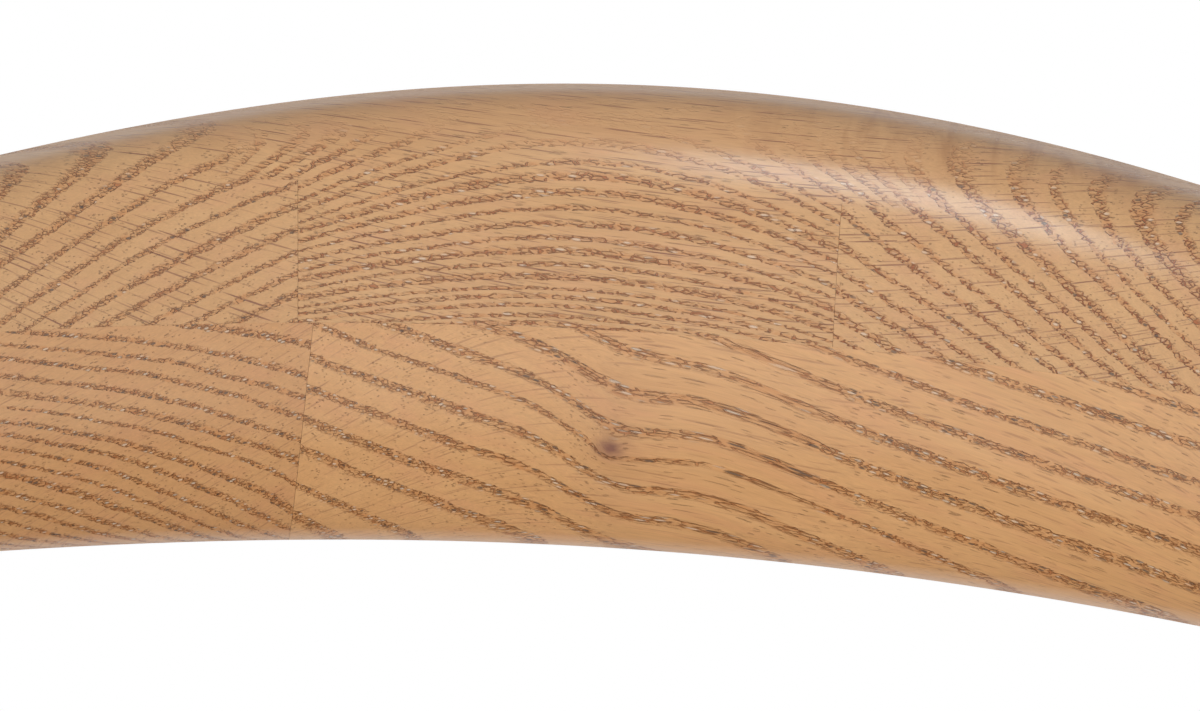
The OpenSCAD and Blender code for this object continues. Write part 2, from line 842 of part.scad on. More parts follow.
lower_block_left_arm();
lower_block_left();
lower_block_centre();
lower_block_right();
lower_block_right_arm();
upper_block_left();
upper_block_centre();
upper_block_right();
crest_cap();
rear_leg_left();
rear_leg_right();
front_leg_left();
front_leg_right();
seat_rail_front();
seat_rail_back();
seat_rail_left();
seat_rail_right();
seat_rail_dowels();
corner_block_front_left();
corner_block_front_right();
corner_block_back_left();
corner_block_back_right();
corner_block_screws();
seat_board();
seat_tee_nuts();
seat_screws();
seat_foam();
seat_cover();
seat_piping();
dust_cover();
footrest_bar();
footrest_guard();
footrest_screws();
side_stretcher_left();
side_stretcher_right();
back_stretcher();
glide_front_left();
glide_front_right();
glide_back_left();
glide_back_right();
glide_nails();
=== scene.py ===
# %% [markdown]
# # A counter stool with a carved oak back
# The stool has four turned legs, a frame under a leather seat, a footrest, three stretchers
# and a back rail that wraps round the sitter. The rail is the piece that the picture is taken
# of. It is glued up from short blocks of oak whose grain runs in different directions, and
# then carved and lacquered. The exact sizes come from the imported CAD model, which loads first.

# %% Load the model
import bpy
import bmesh
import math
import random
import numpy as np
from mathutils import Matrix, Vector
from mathutils.geometry import delaunay_2d_cdt


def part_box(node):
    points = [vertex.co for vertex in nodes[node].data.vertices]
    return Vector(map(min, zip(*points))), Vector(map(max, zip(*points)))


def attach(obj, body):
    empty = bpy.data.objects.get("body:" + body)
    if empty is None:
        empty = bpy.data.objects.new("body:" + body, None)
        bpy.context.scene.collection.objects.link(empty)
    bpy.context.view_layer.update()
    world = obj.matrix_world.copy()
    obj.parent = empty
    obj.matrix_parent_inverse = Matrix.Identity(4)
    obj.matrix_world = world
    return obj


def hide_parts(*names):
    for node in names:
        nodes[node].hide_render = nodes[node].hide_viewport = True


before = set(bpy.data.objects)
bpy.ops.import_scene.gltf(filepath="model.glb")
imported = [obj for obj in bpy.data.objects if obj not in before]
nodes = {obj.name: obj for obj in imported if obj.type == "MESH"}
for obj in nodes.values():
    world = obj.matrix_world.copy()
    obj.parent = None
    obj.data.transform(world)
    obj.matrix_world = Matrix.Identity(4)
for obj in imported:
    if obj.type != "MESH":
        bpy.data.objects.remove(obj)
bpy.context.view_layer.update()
print("loaded", len(nodes), "nodes")

# %% [markdown]
# ## Sizes
# These are the same sizes as in the CAD model, in metres, so that every piece made here lies
# where its node does. Angles go round the rail's own centre, from the middle of the back
# towards the sitter's left and right.

# %% Sizes of the stool
SEAT_H, BACK_H = 0.655, 0.880
FOOT_X, FOOT_Y = 0.225, 0.224
RAIL_R, RAIL_CENTRE_Y = 0.250, -0.046
RAIL_HALF_ANGLE = 80.0
RAIL_H, RAIL_T, ARM_T = 0.097, 0.033, 0.048
ARM_DROP, ARM_RISE = 0.058, 0.008
RAIL_SQUARE = 2.8
TIP_LEN, TIP_TURN = 0.022, 0.92
SEAM_Z = BACK_H - RAIL_H + 0.050
CAP_Z = BACK_H - 0.0185
LOWER_JOINTS, LOWER_LEAN = (-50.0, -15.0, 28.0, 62.0), 5.5
UPPER_JOINTS = (-15.7, 8.9)
TIP_ANGLE = math.degrees(TIP_LEN / (RAIL_R + ARM_T / 2))


def share(a):
    """How far round towards the arms angle a is, from 0 at the back to 1 at an arm."""
    return math.sin(math.radians(90 * min(1, abs(a) / RAIL_HALF_ANGLE)))


def rail_top(a):
    return BACK_H - ARM_DROP * share(a) ** 2


def rail_bottom(a):
    return BACK_H - RAIL_H + ARM_RISE * share(a) ** 4


def rail_width(a):
    return RAIL_T + (ARM_T - RAIL_T) * share(a) ** 2


def edge_angle(z):
    """The angle at which the falling top edge reaches height z."""
    return RAIL_HALF_ANGLE * math.degrees(math.asin(math.sqrt((BACK_H - z) / ARM_DROP))) / 90


print("the upper row runs out at", round(edge_angle(SEAM_Z), 1), "degrees,",
      "the crest cap at", round(edge_angle(CAP_Z), 1))

# %% [markdown]
# ## Camera
# The picture is taken from the sitter's side, a little to the right and above the rail, with
# a long lens. The camera's place was worked out from the outlines and seams of the rail.

# %% Camera
CAMERA_AT = Vector((0.0569, -0.3121, 0.9568))
CAMERA_YAW, CAMERA_PITCH, CAMERA_ROLL = -7.15, 13.94, 1.73


def aim(yaw, pitch, roll):
    """Turns a camera: yaw to the right of straight ahead, pitch down and roll, in degrees."""
    y, p, r = (math.radians(v) for v in (yaw, pitch, roll))
    forward = Vector((math.sin(y) * math.cos(p), math.cos(y) * math.cos(p), -math.sin(p)))
    right = Vector((math.cos(y), -math.sin(y), 0))
    up = right.cross(forward)
    side = right * math.cos(r) + up * math.sin(r)
    head = up * math.cos(r) - right * math.sin(r)
    return Matrix((side, head, -forward)).transposed()


def new_object(name, data):
    obj = bpy.data.objects.new(name, data)
    bpy.context.scene.collection.objects.link(obj)
    return obj


lens = bpy.data.cameras.new("camera")
lens.lens, lens.sensor_width, lens.sensor_fit = 80.04, 36, "HORIZONTAL"
lens.clip_start, lens.clip_end = 0.01, 50
camera = new_object("camera", lens)
camera.matrix_world = Matrix.Translation(CAMERA_AT) @ aim(
    CAMERA_YAW, CAMERA_PITCH, CAMERA_ROLL).to_4x4()
bpy.context.scene.camera = camera
bpy.context.scene.view_settings.view_transform = "Standard"
print("camera at", [round(v, 3) for v in CAMERA_AT])

# %% [markdown]
# ## Writing rules as nodes
# Both the shapes and the finishes below are rules with many small sums. A sum is easier to
# read as a sum than as a list of nodes, so a small class stands for one output of a node
# tree: adding two of them makes a Math node and gives back its output. Another helper,
# made_by, adds any other node, feeds its inputs by name and gives back one of its outputs.


# %% A wire in a node tree
class Wire:
    """One output of a node tree. Sums on wires make Math nodes."""

    def __init__(self, tree, socket):
        self.tree, self.socket = tree, socket

    def __add__(self, other):
        return maths("ADD", self, other)

    def __radd__(self, other):
        return maths("ADD", other, self)

    def __sub__(self, other):
        return maths("SUBTRACT", self, other)

    def __rsub__(self, other):
        return maths("SUBTRACT", other, self)

    def __mul__(self, other):
        return maths("MULTIPLY", self, other)

    def __rmul__(self, other):
        return maths("MULTIPLY", other, self)

    def __truediv__(self, other):
        return maths("DIVIDE", self, other)

    def __rtruediv__(self, other):
        return maths("DIVIDE", other, self)

    def __pow__(self, other):
        return maths("POWER", self, other)

    def __neg__(self):
        return maths("MULTIPLY", self, -1.0)


def plug(tree, value, socket):
    """Links a wire to a socket, or sets the socket's own value."""
    if isinstance(value, Wire):
        tree.links.new(value.socket, socket)
    else:
        socket.default_value = value


def made_by(tree, kind, *feeds, out=0, settings=None, **values):
    """Adds a node, feeds its first inputs in order and others by name; gives one output."""
    node = tree.nodes.new(kind)
    for label, choice in (settings or {}).items():
        setattr(node, label, choice)
    for feed, socket in zip(feeds, node.inputs):
        plug(tree, feed, socket)
    for label, value in values.items():
        plug(tree, value, node.inputs[label.replace("_", " ")])
    return Wire(tree, node.outputs[out])


def tree_of(*values):
    return next(v.tree for v in values if isinstance(v, Wire))


def maths(kind, *values, clamp=False):
    return made_by(tree_of(*values), "ShaderNodeMath", *values,
                   settings={"operation": kind, "use_clamp": clamp})


def clamp(value):
    return maths("ADD", value, 0.0, clamp=True)


def vectors(kind, *values, out=0, scale=None):
    """A Vector Math node on wires or plain triples."""
    named = {} if scale is None else {"Scale": scale}
    return made_by(tree_of(*values, scale), "ShaderNodeVectorMath", *values, out=out,
                   settings={"operation": kind}, **named)


def all_outputs(wire):
    return [Wire(wire.tree, socket) for socket in wire.socket.node.outputs]


def split(vector):
    return all_outputs(made_by(vector.tree, "ShaderNodeSeparateXYZ", vector))


def join(x, y, z):
    return made_by(tree_of(x, y, z), "ShaderNodeCombineXYZ", x, y, z)


def ramp(value, low, high, to_low=0.0, to_high=1.0, smooth=True):
    """Maps low..high to to_low..to_high, with soft ends unless smooth is off."""
    return made_by(value.tree, "ShaderNodeMapRange", Value=value, From_Min=low, From_Max=high,
                   To_Min=to_low, To_Max=to_high,
                   settings={"interpolation_type": "SMOOTHSTEP" if smooth else "LINEAR"})


def blend_colours(mask, first, second):
    """first where the mask is 0, second where it is 1."""
    node = mask.tree.nodes.new("ShaderNodeMix")
    node.data_type = "RGBA"
    for value, place in ((mask, 0), (first, 6), (second, 7)):
        plug(mask.tree, value, node.inputs[place])
    return Wire(mask.tree, node.outputs[2])


def node_group(name, kind, inputs, outputs):
    """An empty group, its inputs as wires by name, and the node that takes its outputs."""
    tree = bpy.data.node_groups.new(name, kind)
    for label, socket_type, value in inputs:
        socket = tree.interface.new_socket(name=label, in_out="INPUT", socket_type=socket_type)
        if value is not None:
            socket.default_value = value
    for label, socket_type in outputs:
        tree.interface.new_socket(name=label, in_out="OUTPUT", socket_type=socket_type)
    start, end = tree.nodes.new("NodeGroupInput"), tree.nodes.new("NodeGroupOutput")
    wires = {label: Wire(tree, start.outputs[label]) for label, _, _ in inputs}
    return tree, wires, end


FLOAT, VECTOR, COLOUR = "NodeSocketFloat", "NodeSocketVector", "NodeSocketColor"
GEOMETRY, MATERIAL, WHOLE = "NodeSocketGeometry", "NodeSocketMaterial", "NodeSocketInt"


def colour(*rgb):
    """A colour written as on a screen, 0 to 255, turned into the linear values that nodes use."""
    return tuple((c / 12.92 if c <= 0.04045 else ((c + 0.055) / 1.055) ** 2.4)
                 for c in (v / 255 for v in rgb)) + (1.0,)


print("mid grey on a screen is", round(colour(128)[0], 3), "in a node")

# %% [markdown]
# ## Oak
# Oak shows three things on a cut face. The rings are darker bands of wide open pores from each
# spring, and the way a band runs tells how the block was cut from the log. The pores are short
# tubes along the fibre, seen as dots on an end cut and as dashes on a long cut. The rays are
# thin sheets from the middle of the log outwards, seen as fine darker dashes.
#
# A flat picture of grain would slide over a carved rail, so the wood here is a solid pattern:
# each block has its own frame in the log, with x along the fibre, y across the rings and z
# along them, all in millimetres. The surface simply cuts through that pattern, and grain,
# pores and rays come out in the right directions by themselves.


# %% Patterns in space
def noise(vector, scale, detail=2.0, roughness=0.5, distortion=0.0, out="Fac"):
    return made_by(vector.tree, "ShaderNodeTexNoise", Vector=vector, Scale=scale, Detail=detail,
                   Roughness=roughness, Distortion=distortion, out=out)


def cells(vector, randomness=1.0, out="Distance", feature="F1"):
    """Scattered cells one unit apart; several outputs when out is a list."""
    names = [out] if isinstance(out, str) else out
    first = made_by(vector.tree, "ShaderNodeTexVoronoi", Vector=vector, Scale=1.0,
                    Randomness=randomness, settings={"feature": feature})
    wires = [Wire(vector.tree, first.socket.node.outputs[label]) for label in names]
    return wires[0] if isinstance(out, str) else wires


def stretched(vector, *lengths):
    """Space squeezed so that one unit covers these lengths along x, y and z."""
    return vectors("MULTIPLY", vector, tuple(1 / v for v in lengths))


RAY_BROWN, FINE_PORE_BROWN = colour(140, 92, 68), colour(146, 98, 66)
# The pale glint colour is a painted highlight of light on the pores' lacquer, partly standing for
# pale filler in the pores.
LOOP_BROWN, DARK_CORE, PAINTED_GLINT = colour(163, 88, 43), colour(86, 74, 66), colour(226, 198, 170)


def oak_group():
    tree, given, end = node_group("oak figure", "ShaderNodeTree", [
        ("Block", VECTOR, None), ("Ring Spacing", FLOAT, 3.0), ("Ring Bend", FLOAT, 0.0),
        ("Ring Shift", FLOAT, 0.0), ("Ring Wander", FLOAT, 1.0), ("Band", FLOAT, 0.32),
        ("Pores", FLOAT, 1.0), ("Glints", FLOAT, 0.3), ("Specks", FLOAT, 0.12),
        ("Pore Size", FLOAT, 1.0), ("Loops", FLOAT, 0.7), ("Rays", FLOAT, 1.0),
        ("Ray Length", FLOAT, 1.0),
        ("Wood", COLOUR, colour(214, 167, 117)), ("Band Wood", COLOUR, colour(199, 133, 79)),
        ("Seed", FLOAT, 0.0)],
        [("Color", COLOUR), ("Roughness", FLOAT), ("Height", FLOAT)])
    block = vectors("ADD", given["Block"], join(given["Seed"] * 37.0, 0.0, 0.0))
    _, y, z = split(block)
    slow = noise(stretched(block, 60, 16, 22), 1.0, 2.0, out="Color")
    wander = (split(slow)[0] - 0.5) * given["Ring Wander"] * 2.0
    quick = noise(stretched(block, 5.0, 1.5, 1.5), 1.0, 2.0) - 0.5
    ragged = maths("MINIMUM", given["Ring Spacing"] * 0.3, 0.9)
    depth = y + given["Ring Bend"] * z * z * 0.5 + given["Ring Shift"] + wander + quick * ragged
    rings = depth / given["Ring Spacing"]
    rings = rings + (noise(join(rings * 0.55, given["Seed"], 0.0), 1.0, 1.0) - 0.5) * 1.0
    year = maths("FLOOR", rings)
    part = maths("FRACT", rings)
    luck = made_by(tree, "ShaderNodeTexWhiteNoise", W=year + given["Seed"] * 11.3,
                   settings={"noise_dimensions": "1D"}, out="Value")
    width = given["Band"] * (0.75 + 0.5 * luck)
    band = ramp(part, 0.0, 0.05) * ramp(part, width * 0.6, width * 1.15, 1.0, 0.0)

    # Pores: tubes along the fibre, cut open, so that each shows as a small brown loop
    tubes = vectors("SCALE", stretched(block, 2.2, 0.62, 0.62), scale=1.0 / given["Pore Size"])
    inside, chance = cells(tubes, out=["Distance", "Color"])
    _, green, blue = split(chance)
    loops = ramp(cells(tubes, feature="DISTANCE_TO_EDGE"), 0.03, 0.12, 1.0, 0.0)
    broken = ramp(noise(stretched(block, 1.5, 0.8, 0.8), 1.0, 1.0), 0.38, 0.54)
    loops = loops * band * broken
    core = ramp(inside, 0.24, 0.46, 1.0, 0.0) * band
    dark = core * ramp(green, 1.0 - given["Specks"], 1.06 - given["Specks"])
    # Painted glints: pale specks in some pores stand for light caught on the lacquer, and partly
    # for pale filler in the pores.
    painted_glint = core * ramp(blue, 1.0 - given["Glints"] * 0.5, 1.06 - given["Glints"] * 0.5)
    fine, fine_chance = cells(stretched(block, 5.0, 0.30, 0.30), out=["Distance", "Color"])
    small = ramp(fine, 0.20, 0.45, 1.0, 0.0) * ramp(split(fine_chance)[0], 0.80, 0.90) * (
        ramp(part, 0.35, 1.0, 1.0, 0.25) * (1.0 - band))

    # Rays: thin sheets along the fibre and across the rings, seen edge on as tapered dashes
    shorter = join(1.0 / given["Ray Length"], 1.0 / given["Ray Length"], 1.0)

    def sheets(length, reach, apart, thickness, least):
        space = vectors("MULTIPLY", stretched(block, length, reach, apart), shorter)
        place, shade = cells(space, out=["Position", "Color"])
        away = vectors("SUBTRACT", space, place)
        off = vectors("LENGTH", vectors("MULTIPLY", away, (2.2, 2.0, apart / thickness)), out=1)
        first, second, _ = split(shade)
        return ramp(off, 0.5, 1.05, 1.0, 0.0) * ramp(first, least, least + 0.1) * (
            0.5 + 0.5 * second)

    long_rays = sheets(15.0, 14.0, 1.35, 0.15, 0.02)
    short_rays = sheets(7.0, 7.0, 0.8, 0.10, 0.30)
    rays = maths("MAXIMUM", long_rays, short_rays * 0.65) * given["Rays"] * (1.0 - band * 0.5)

    # Colours: wood between the bands, the band, and what lies in it, with the painted glints last
    fibre = noise(stretched(block, 9.0, 0.25, 0.25), 1.0, 1.0) - 0.5
    tone = noise(stretched(block, 50, 7, 10), 1.0, 3.0) - 0.5
    blush = noise(stretched(block, 16, 4, 5), 1.0, 2.0)
    wood = blend_colours(clamp(0.4 + tone * 1.6 + ramp(part, 0.2, 1.0) * 0.2),
                         given["Wood"], vectors("MULTIPLY", given["Wood"], (0.90, 0.84, 0.78)))
    wood = blend_colours(ramp(blush, 0.45, 0.75) * 0.5, wood,
                         vectors("MULTIPLY", given["Wood"], (0.93, 0.82, 0.86)))
    streak = noise(stretched(block, 34, 0.8, 0.9), 1.0, 1.0) - 0.5
    wood = vectors("SCALE", wood, scale=1.0 + fibre * 0.24 + streak * 0.16)
    soft = ramp(noise(stretched(block, 3.0, 1.0, 1.0), 1.0, 2.0), 0.3, 0.7)
    wood = blend_colours(clamp(band * (0.22 + 0.45 * soft) * given["Pores"]), wood,
                         given["Band Wood"])
    wood = blend_colours(clamp(rays * 0.95), wood, RAY_BROWN)
    for mask, tint in ((small * 0.25, FINE_PORE_BROWN), (loops * given["Loops"], LOOP_BROWN),
                       (dark * 0.8, DARK_CORE), (painted_glint * 0.75, PAINTED_GLINT)):
        wood = blend_colours(clamp(mask * given["Pores"]), wood, tint)
    plug(tree, wood, end.inputs["Color"])
    plug(tree, 0.40 + band * 0.06 + loops * 0.12, end.inputs["Roughness"])
    plug(tree, 1.0 - clamp((loops * 0.7 + core * 0.3) * given["Pores"] + small * 0.4 + rays * 0.1),
         end.inputs["Height"])
    return tree


OAK = oak_group()
print("oak figure has", len(OAK.nodes), "nodes")


# %% [markdown]
# A finish is a material with one Principled shader. Oak is finished with a thin satin lacquer:
# a clear coat over the wood that is smooth in itself but follows the open pores a little, and
# that mirrors less where the surface turns away from the eye. The values that are the same
# everywhere are set on the shader's own sockets.


# %% Making a material
def finish(name, roughness=0.5, **fixed):
    """A new material with a Principled shader; fixed values go straight to its sockets."""
    material = bpy.data.materials.new(name)
    material.use_nodes = True
    tree = material.node_tree
    shader = tree.nodes["Principled BSDF"]
    shader.inputs["Roughness"].default_value = roughness
    for label, value in fixed.items():
        shader.inputs[label.replace("_", " ")].default_value = value
    return material, tree, shader


def surface(tree, shader, tint, height, strength, depth, rough=None):
    """Plugs a pattern into a shader: its colour, its height in metres and its roughness."""
    plug(tree, tint, shader.inputs["Base Color"])
    if rough is not None:
        plug(tree, rough, shader.inputs["Roughness"])
    normal = made_by(tree, "ShaderNodeBump", Strength=strength, Distance=depth, Height=height,
                     out="Normal")
    plug(tree, normal, shader.inputs["Normal"])


def place_group(tree, group, **values):
    """Puts a group in a material and sets or links its inputs; gives its outputs as wires."""
    first = made_by(tree, "ShaderNodeGroup", settings={"node_tree": group}, **values)
    return {wire.socket.name: wire for wire in all_outputs(first)}


def object_point(tree):
    return made_by(tree, "ShaderNodeTexCoord", out="Object")


def in_millimetres(tree):
    return vectors("SCALE", object_point(tree), scale=1000.0)


def log_frame(tree, fibre, across, centre):
    """The place in the log, in millimetres: x along the fibre, y across the rings."""
    along = Vector(fibre).normalized()
    out = Vector(across)
    out = (out - along * out.dot(along)).normalized()
    rows = Matrix((along, out, along.cross(out)))
    return made_by(tree, "ShaderNodeMapping", Vector=object_point(tree), Scale=(1000, 1000, 1000),
                   Rotation=rows.to_euler("XYZ"), Location=-(rows @ (Vector(centre) * 1000)),
                   settings={"vector_type": "POINT"})


LACQUER = {"roughness": 0.42, "Coat_Roughness": 0.21, "Specular_IOR_Level": 0.08}
PORE_DEPTH = 0.0006


def lacquered(name):
    """A finish whose clear coat thins where the surface turns away from the eye."""
    material, tree, shader = finish(name, **LACQUER)
    facing = made_by(tree, "ShaderNodeLayerWeight", Blend=0.5, out="Facing")
    plug(tree, ramp(facing, 0.55, 0.92, 1.0, 0.15), shader.inputs["Coat Weight"])
    return material, tree, shader


def crowded(place, block):
    """Rings that lie closer together towards the top of the rail."""
    _, out, _ = split(block)
    over = maths("MAXIMUM", (split(place)[2] - SEAM_Z) * 1000.0 - 26.0, 0.0)
    late = maths("MAXIMUM", out + 1.0, 0.0)
    return over * over * 0.015 + late * late * 0.03


def twisted(place, block):
    """Rings that steepen downwards, as in a board from a leaning trunk."""
    start = tuple(at_seam(-89, 234, -25) * 1000)
    x, y, z = split(vectors("SUBTRACT", vectors("SCALE", place, scale=1000.0), start))
    run = x * 0.934 + y * 0.358
    low = maths("MINIMUM", z, 0.0)
    return run * 0.06 - run * run * 0.0016 - run * z * 0.005 + low * low * 0.013


def place_oak(tree, fibre, across, centre, growth=None, **figure):
    """Oak from one place in the log, with rings that may be bent by a growth rule."""
    block = log_frame(tree, fibre, across, centre)
    shift = growth(object_point(tree), block) if growth else 0.0
    return place_group(tree, OAK, Block=block, Ring_Shift=shift, **figure)


def oak_finish(name, fibre, across, centre, **figure):
    material, tree, shader = lacquered(name)
    made = place_oak(tree, fibre, across, centre, **figure)
    surface(tree, shader, made["Color"], made["Height"], 1.0, PORE_DEPTH, made["Roughness"])
    return material


# %% [markdown]
# The blocks of the back come from different boards. Each entry below gives the direction of the
# fibre, the direction across the rings and a point in the block, and then how far apart the
# rings are and how much they bend.

# %% Boards that the back is cut from
ARC = Vector((0, RAIL_CENTRE_Y, SEAM_Z))


def at_seam(x, y, z):
    """A point given in millimetres from the rail's centre at the height of the seam."""
    return ARC + Vector((x, y, z)) * 0.001


BOARDS = {
    "upper_block_left": (
        (0.983, -0.066, 0.169), (-0.177, -0.569, 0.803), at_seam(-87, 236, 19),
        {"Ring_Spacing": 3.5, "Ring_Bend": 0.0075, "Seed": 1.0, "Glints": 0.12, "Loops": 0.6}),
    "upper_block_centre": (
        (0.997, 0.0, -0.078), (0.065, -0.838, 0.543), at_seam(-15, 248, 17),
        {"Ring_Spacing": 1.3, "Ring_Bend": -0.0146, "Ring_Wander": 0.5, "Seed": 2.0,
         "Band": 0.52, "Specks": 0.04, "Glints": 0.4, "Pore_Size": 1.2, "Loops": 0.7,
         "growth": crowded}),
    "upper_block_right": (
        (0.974, 0.131, -0.184), (0.222, -0.693, 0.685), at_seam(63, 242, 15),
        {"Ring_Spacing": 3.0, "Ring_Bend": -0.0057, "Seed": 3.0, "Band": 0.40, "Glints": 0.4,
         "Loops": 0.85, "Pore_Size": 1.25}),
    "lower_block_left": (
        (0.702, 0.65, 0.287), (0.435, -0.702, 0.55), at_seam(-89, 234, -17),
        {"Ring_Spacing": 2.3, "growth": twisted, "Seed": 4.0, "Band": 0.38, "Glints": 0.7,
         "Wood": colour(213, 162, 112), "Specks": 0.35, "Loops": 0.55, "Ray_Length": 0.5,
         "Rays": 0.4}),
    "lower_block_right": (
        (0.90, -0.42, 0.05), (0.2, 0.6, -0.77), at_seam(170, 180, -22),
        {"Ring_Spacing": 3.4, "Ring_Bend": 0.004, "Seed": 6.0}),
    "lower_block_left_arm": (
        (0.35, 0.93, 0.06), (0.6, -0.2, 0.77), at_seam(-255, 90, -25),
        {"Ring_Spacing": 3.2, "Ring_Bend": 0.006, "Seed": 7.0}),
    "lower_block_right_arm": (
        (-0.25, 0.96, 0.05), (0.5, 0.1, 0.86), at_seam(258, 70, -25),
        {"Ring_Spacing": 3.6, "Ring_Bend": 0.005, "Seed": 8.0}),
}
block_oak = {name: oak_finish("oak_" + name, *board[:3], **board[3])
             for name, board in BOARDS.items()}
print("oak for", len(block_oak), "blocks")

# %% [markdown]
# Two blocks need more than one frame. The lower middle block has a pin knot, where a twig grew:
# the fibres turn a little from one side of it to the other, and the rings swing down round it.
# The crest cap runs over all three upper blocks and looks as if it grew together with them, so
# their figures are faded into each other along it, and fade out on top, where the cut lies
# along the rings and only rays show. It has one finish for its left part and one for its right,
# because each of them holds two figures.


# %% Oak of the block with the knot
# The middle colour here is painted shade for the top of the crest cap; the knot and flame browns
# are the wood's own.
KNOT_BROWN, PAINTED_CREST_SHADE, FLAME_BROWN = (
    colour(140, 96, 78), colour(158, 108, 84), colour(156, 104, 64))
CREST_LOW, CREST_HIGH = CAP_Z + 0.002, CAP_Z + 0.012


def knotty_oak():
    material, tree, shader = lacquered("oak_lower_centre")
    x, _, z = split(object_point(tree))
    first = log_frame(tree, (0.962, -0.26, -0.08), (-0.211, -0.527, -0.823),
                      at_seam(-42, 247, -22))
    second = log_frame(tree, (0.935, -0.288, -0.205), (-0.311, -0.398, -0.863),
                       at_seam(44.4, 234.3, -42))
    turned = ramp(x, -0.040, 0.045)
    block = vectors("ADD", first, vectors("SCALE", vectors("SUBTRACT", second, first),
                                          scale=turned))
    knot = at_seam(-5.5, 250.5, -24.5) * 1000

    def near_knot(across, up, shift=0.0):
        dx, dz = (x * 1000.0 - (knot.x + shift)) / across, (z * 1000.0 - knot.z) / up
        return maths("EXPONENT", -(dx * dx + dz * dz))

    block = vectors("ADD", block, join(0.0, near_knot(13.0, 24.0, 2.0) * -4.5
                                       + near_knot(3.0, 3.0) * -2.0, 0.0))
    made = place_group(tree, OAK, Block=block, Ring_Spacing=5.6, Seed=5.0, Band=0.35,
                       Glints=0.7, Wood=colour(220, 169, 117), Specks=0.3, Ray_Length=0.5,
                       Rays=0.45, Loops=0.55)
    smudge = noise(stretched(block, 2.0, 1.0, 1.5), 1.0, 2.0)
    stain = near_knot(2.6, 1.9) * (0.4 + smudge) + near_knot(7.0, 16.0, 1.0) * smudge * 0.30
    surface(tree, shader, blend_colours(clamp(stain), made["Color"], KNOT_BROWN),
            made["Height"], 1.0, PORE_DEPTH, made["Roughness"])
    return material


def crest_oak(side, first, second, start, stop):
    """One side of the cap: the figure of one block fades into the next between two angles."""
    material, tree, shader = lacquered("oak_crest_cap_" + side)
    x, y, z = split(object_point(tree))
    turn = maths("ARCTAN2", x, y - RAIL_CENTRE_Y) * (180 / math.pi)
    rise = ramp(z, CREST_LOW, CREST_HIGH)
    made = []
    for name, left in (first, second):
        fibre, across, centre, figure = BOARDS[name]
        made.append(place_oak(tree, fibre, across, centre, Pores=1.0 - rise * (1 - left),
                              **figure))
    mask = ramp(turn, start, stop)
    shade = blend_colours(mask, made[0]["Color"], made[1]["Color"])
    # Painted shade: the cap turns darker and browner towards its top, where less light falls.
    shade = blend_colours(rise * 0.13, shade, PAINTED_CREST_SHADE)
    if side == "right":
        # Soft dark flames, where the cut lies along the rings
        place = stretched(in_millimetres(tree), 7.0, 30.0, 24.0)
        flames = ramp(noise(place, 1.0, 3.0, 0.6, 0.8), 0.42, 0.66) * ramp(turn, 1.0, 10.0) * rise
        shade = blend_colours(clamp(flames * 0.45), shade, FLAME_BROWN)
    height = made[0]["Height"] + (made[1]["Height"] - made[0]["Height"]) * mask
    surface(tree, shader, shade, height, 1.0, PORE_DEPTH)
    return material


CAP_SPLIT = -3.0
block_oak["lower_block_centre"] = knotty_oak()
block_oak["crest_cap"] = crest_oak("left", ("upper_block_left", 0.35),
                                   ("upper_block_centre", 0.10), -20.0, -16.5)
crest_right = crest_oak("right", ("upper_block_centre", 0.10), ("upper_block_right", 0.25),
                        9.5, 13.5)
print("oak for", len(block_oak), "blocks in all")

# %% [markdown]
# ## The carved back rail
# The rail is one shape from tip to tip: a rounded section that follows an arc, lower and wider
# towards the arms. It is cut by glue joints into blocks, so a block is that shape between two
# joints and between two heights. This is a rule, and Geometry Nodes suit it well. The tree
# starts with a flat sheet, wraps it round the section from the inner face over the top to the
# outer face and back underneath, and bends it round the arc. The joints lean, so the angle of
# a point depends on its height, and its height on its angle. Working the rule out twice more
# from the last answer settles that to a thousandth of a millimetre.


# %% Node tree that carves one block
SAME_POINT, NO_LENGTH = 2e-6, 1e-6
# Shares of the way round a section: each side face, and the top or the bottom between them
FACE_SHARE, EDGE_SHARE = 0.42, 0.08


def dressed(geometry, given, end):
    """The end of every tree: real geometry instead of instances, with its finish."""
    tree = geometry.tree
    real = made_by(tree, "GeometryNodeRealizeInstances", geometry)
    covered = made_by(tree, "GeometryNodeSetMaterial", Geometry=real, Material=given["Finish"])
    plug(tree, covered, end.inputs["Geometry"])
    return tree


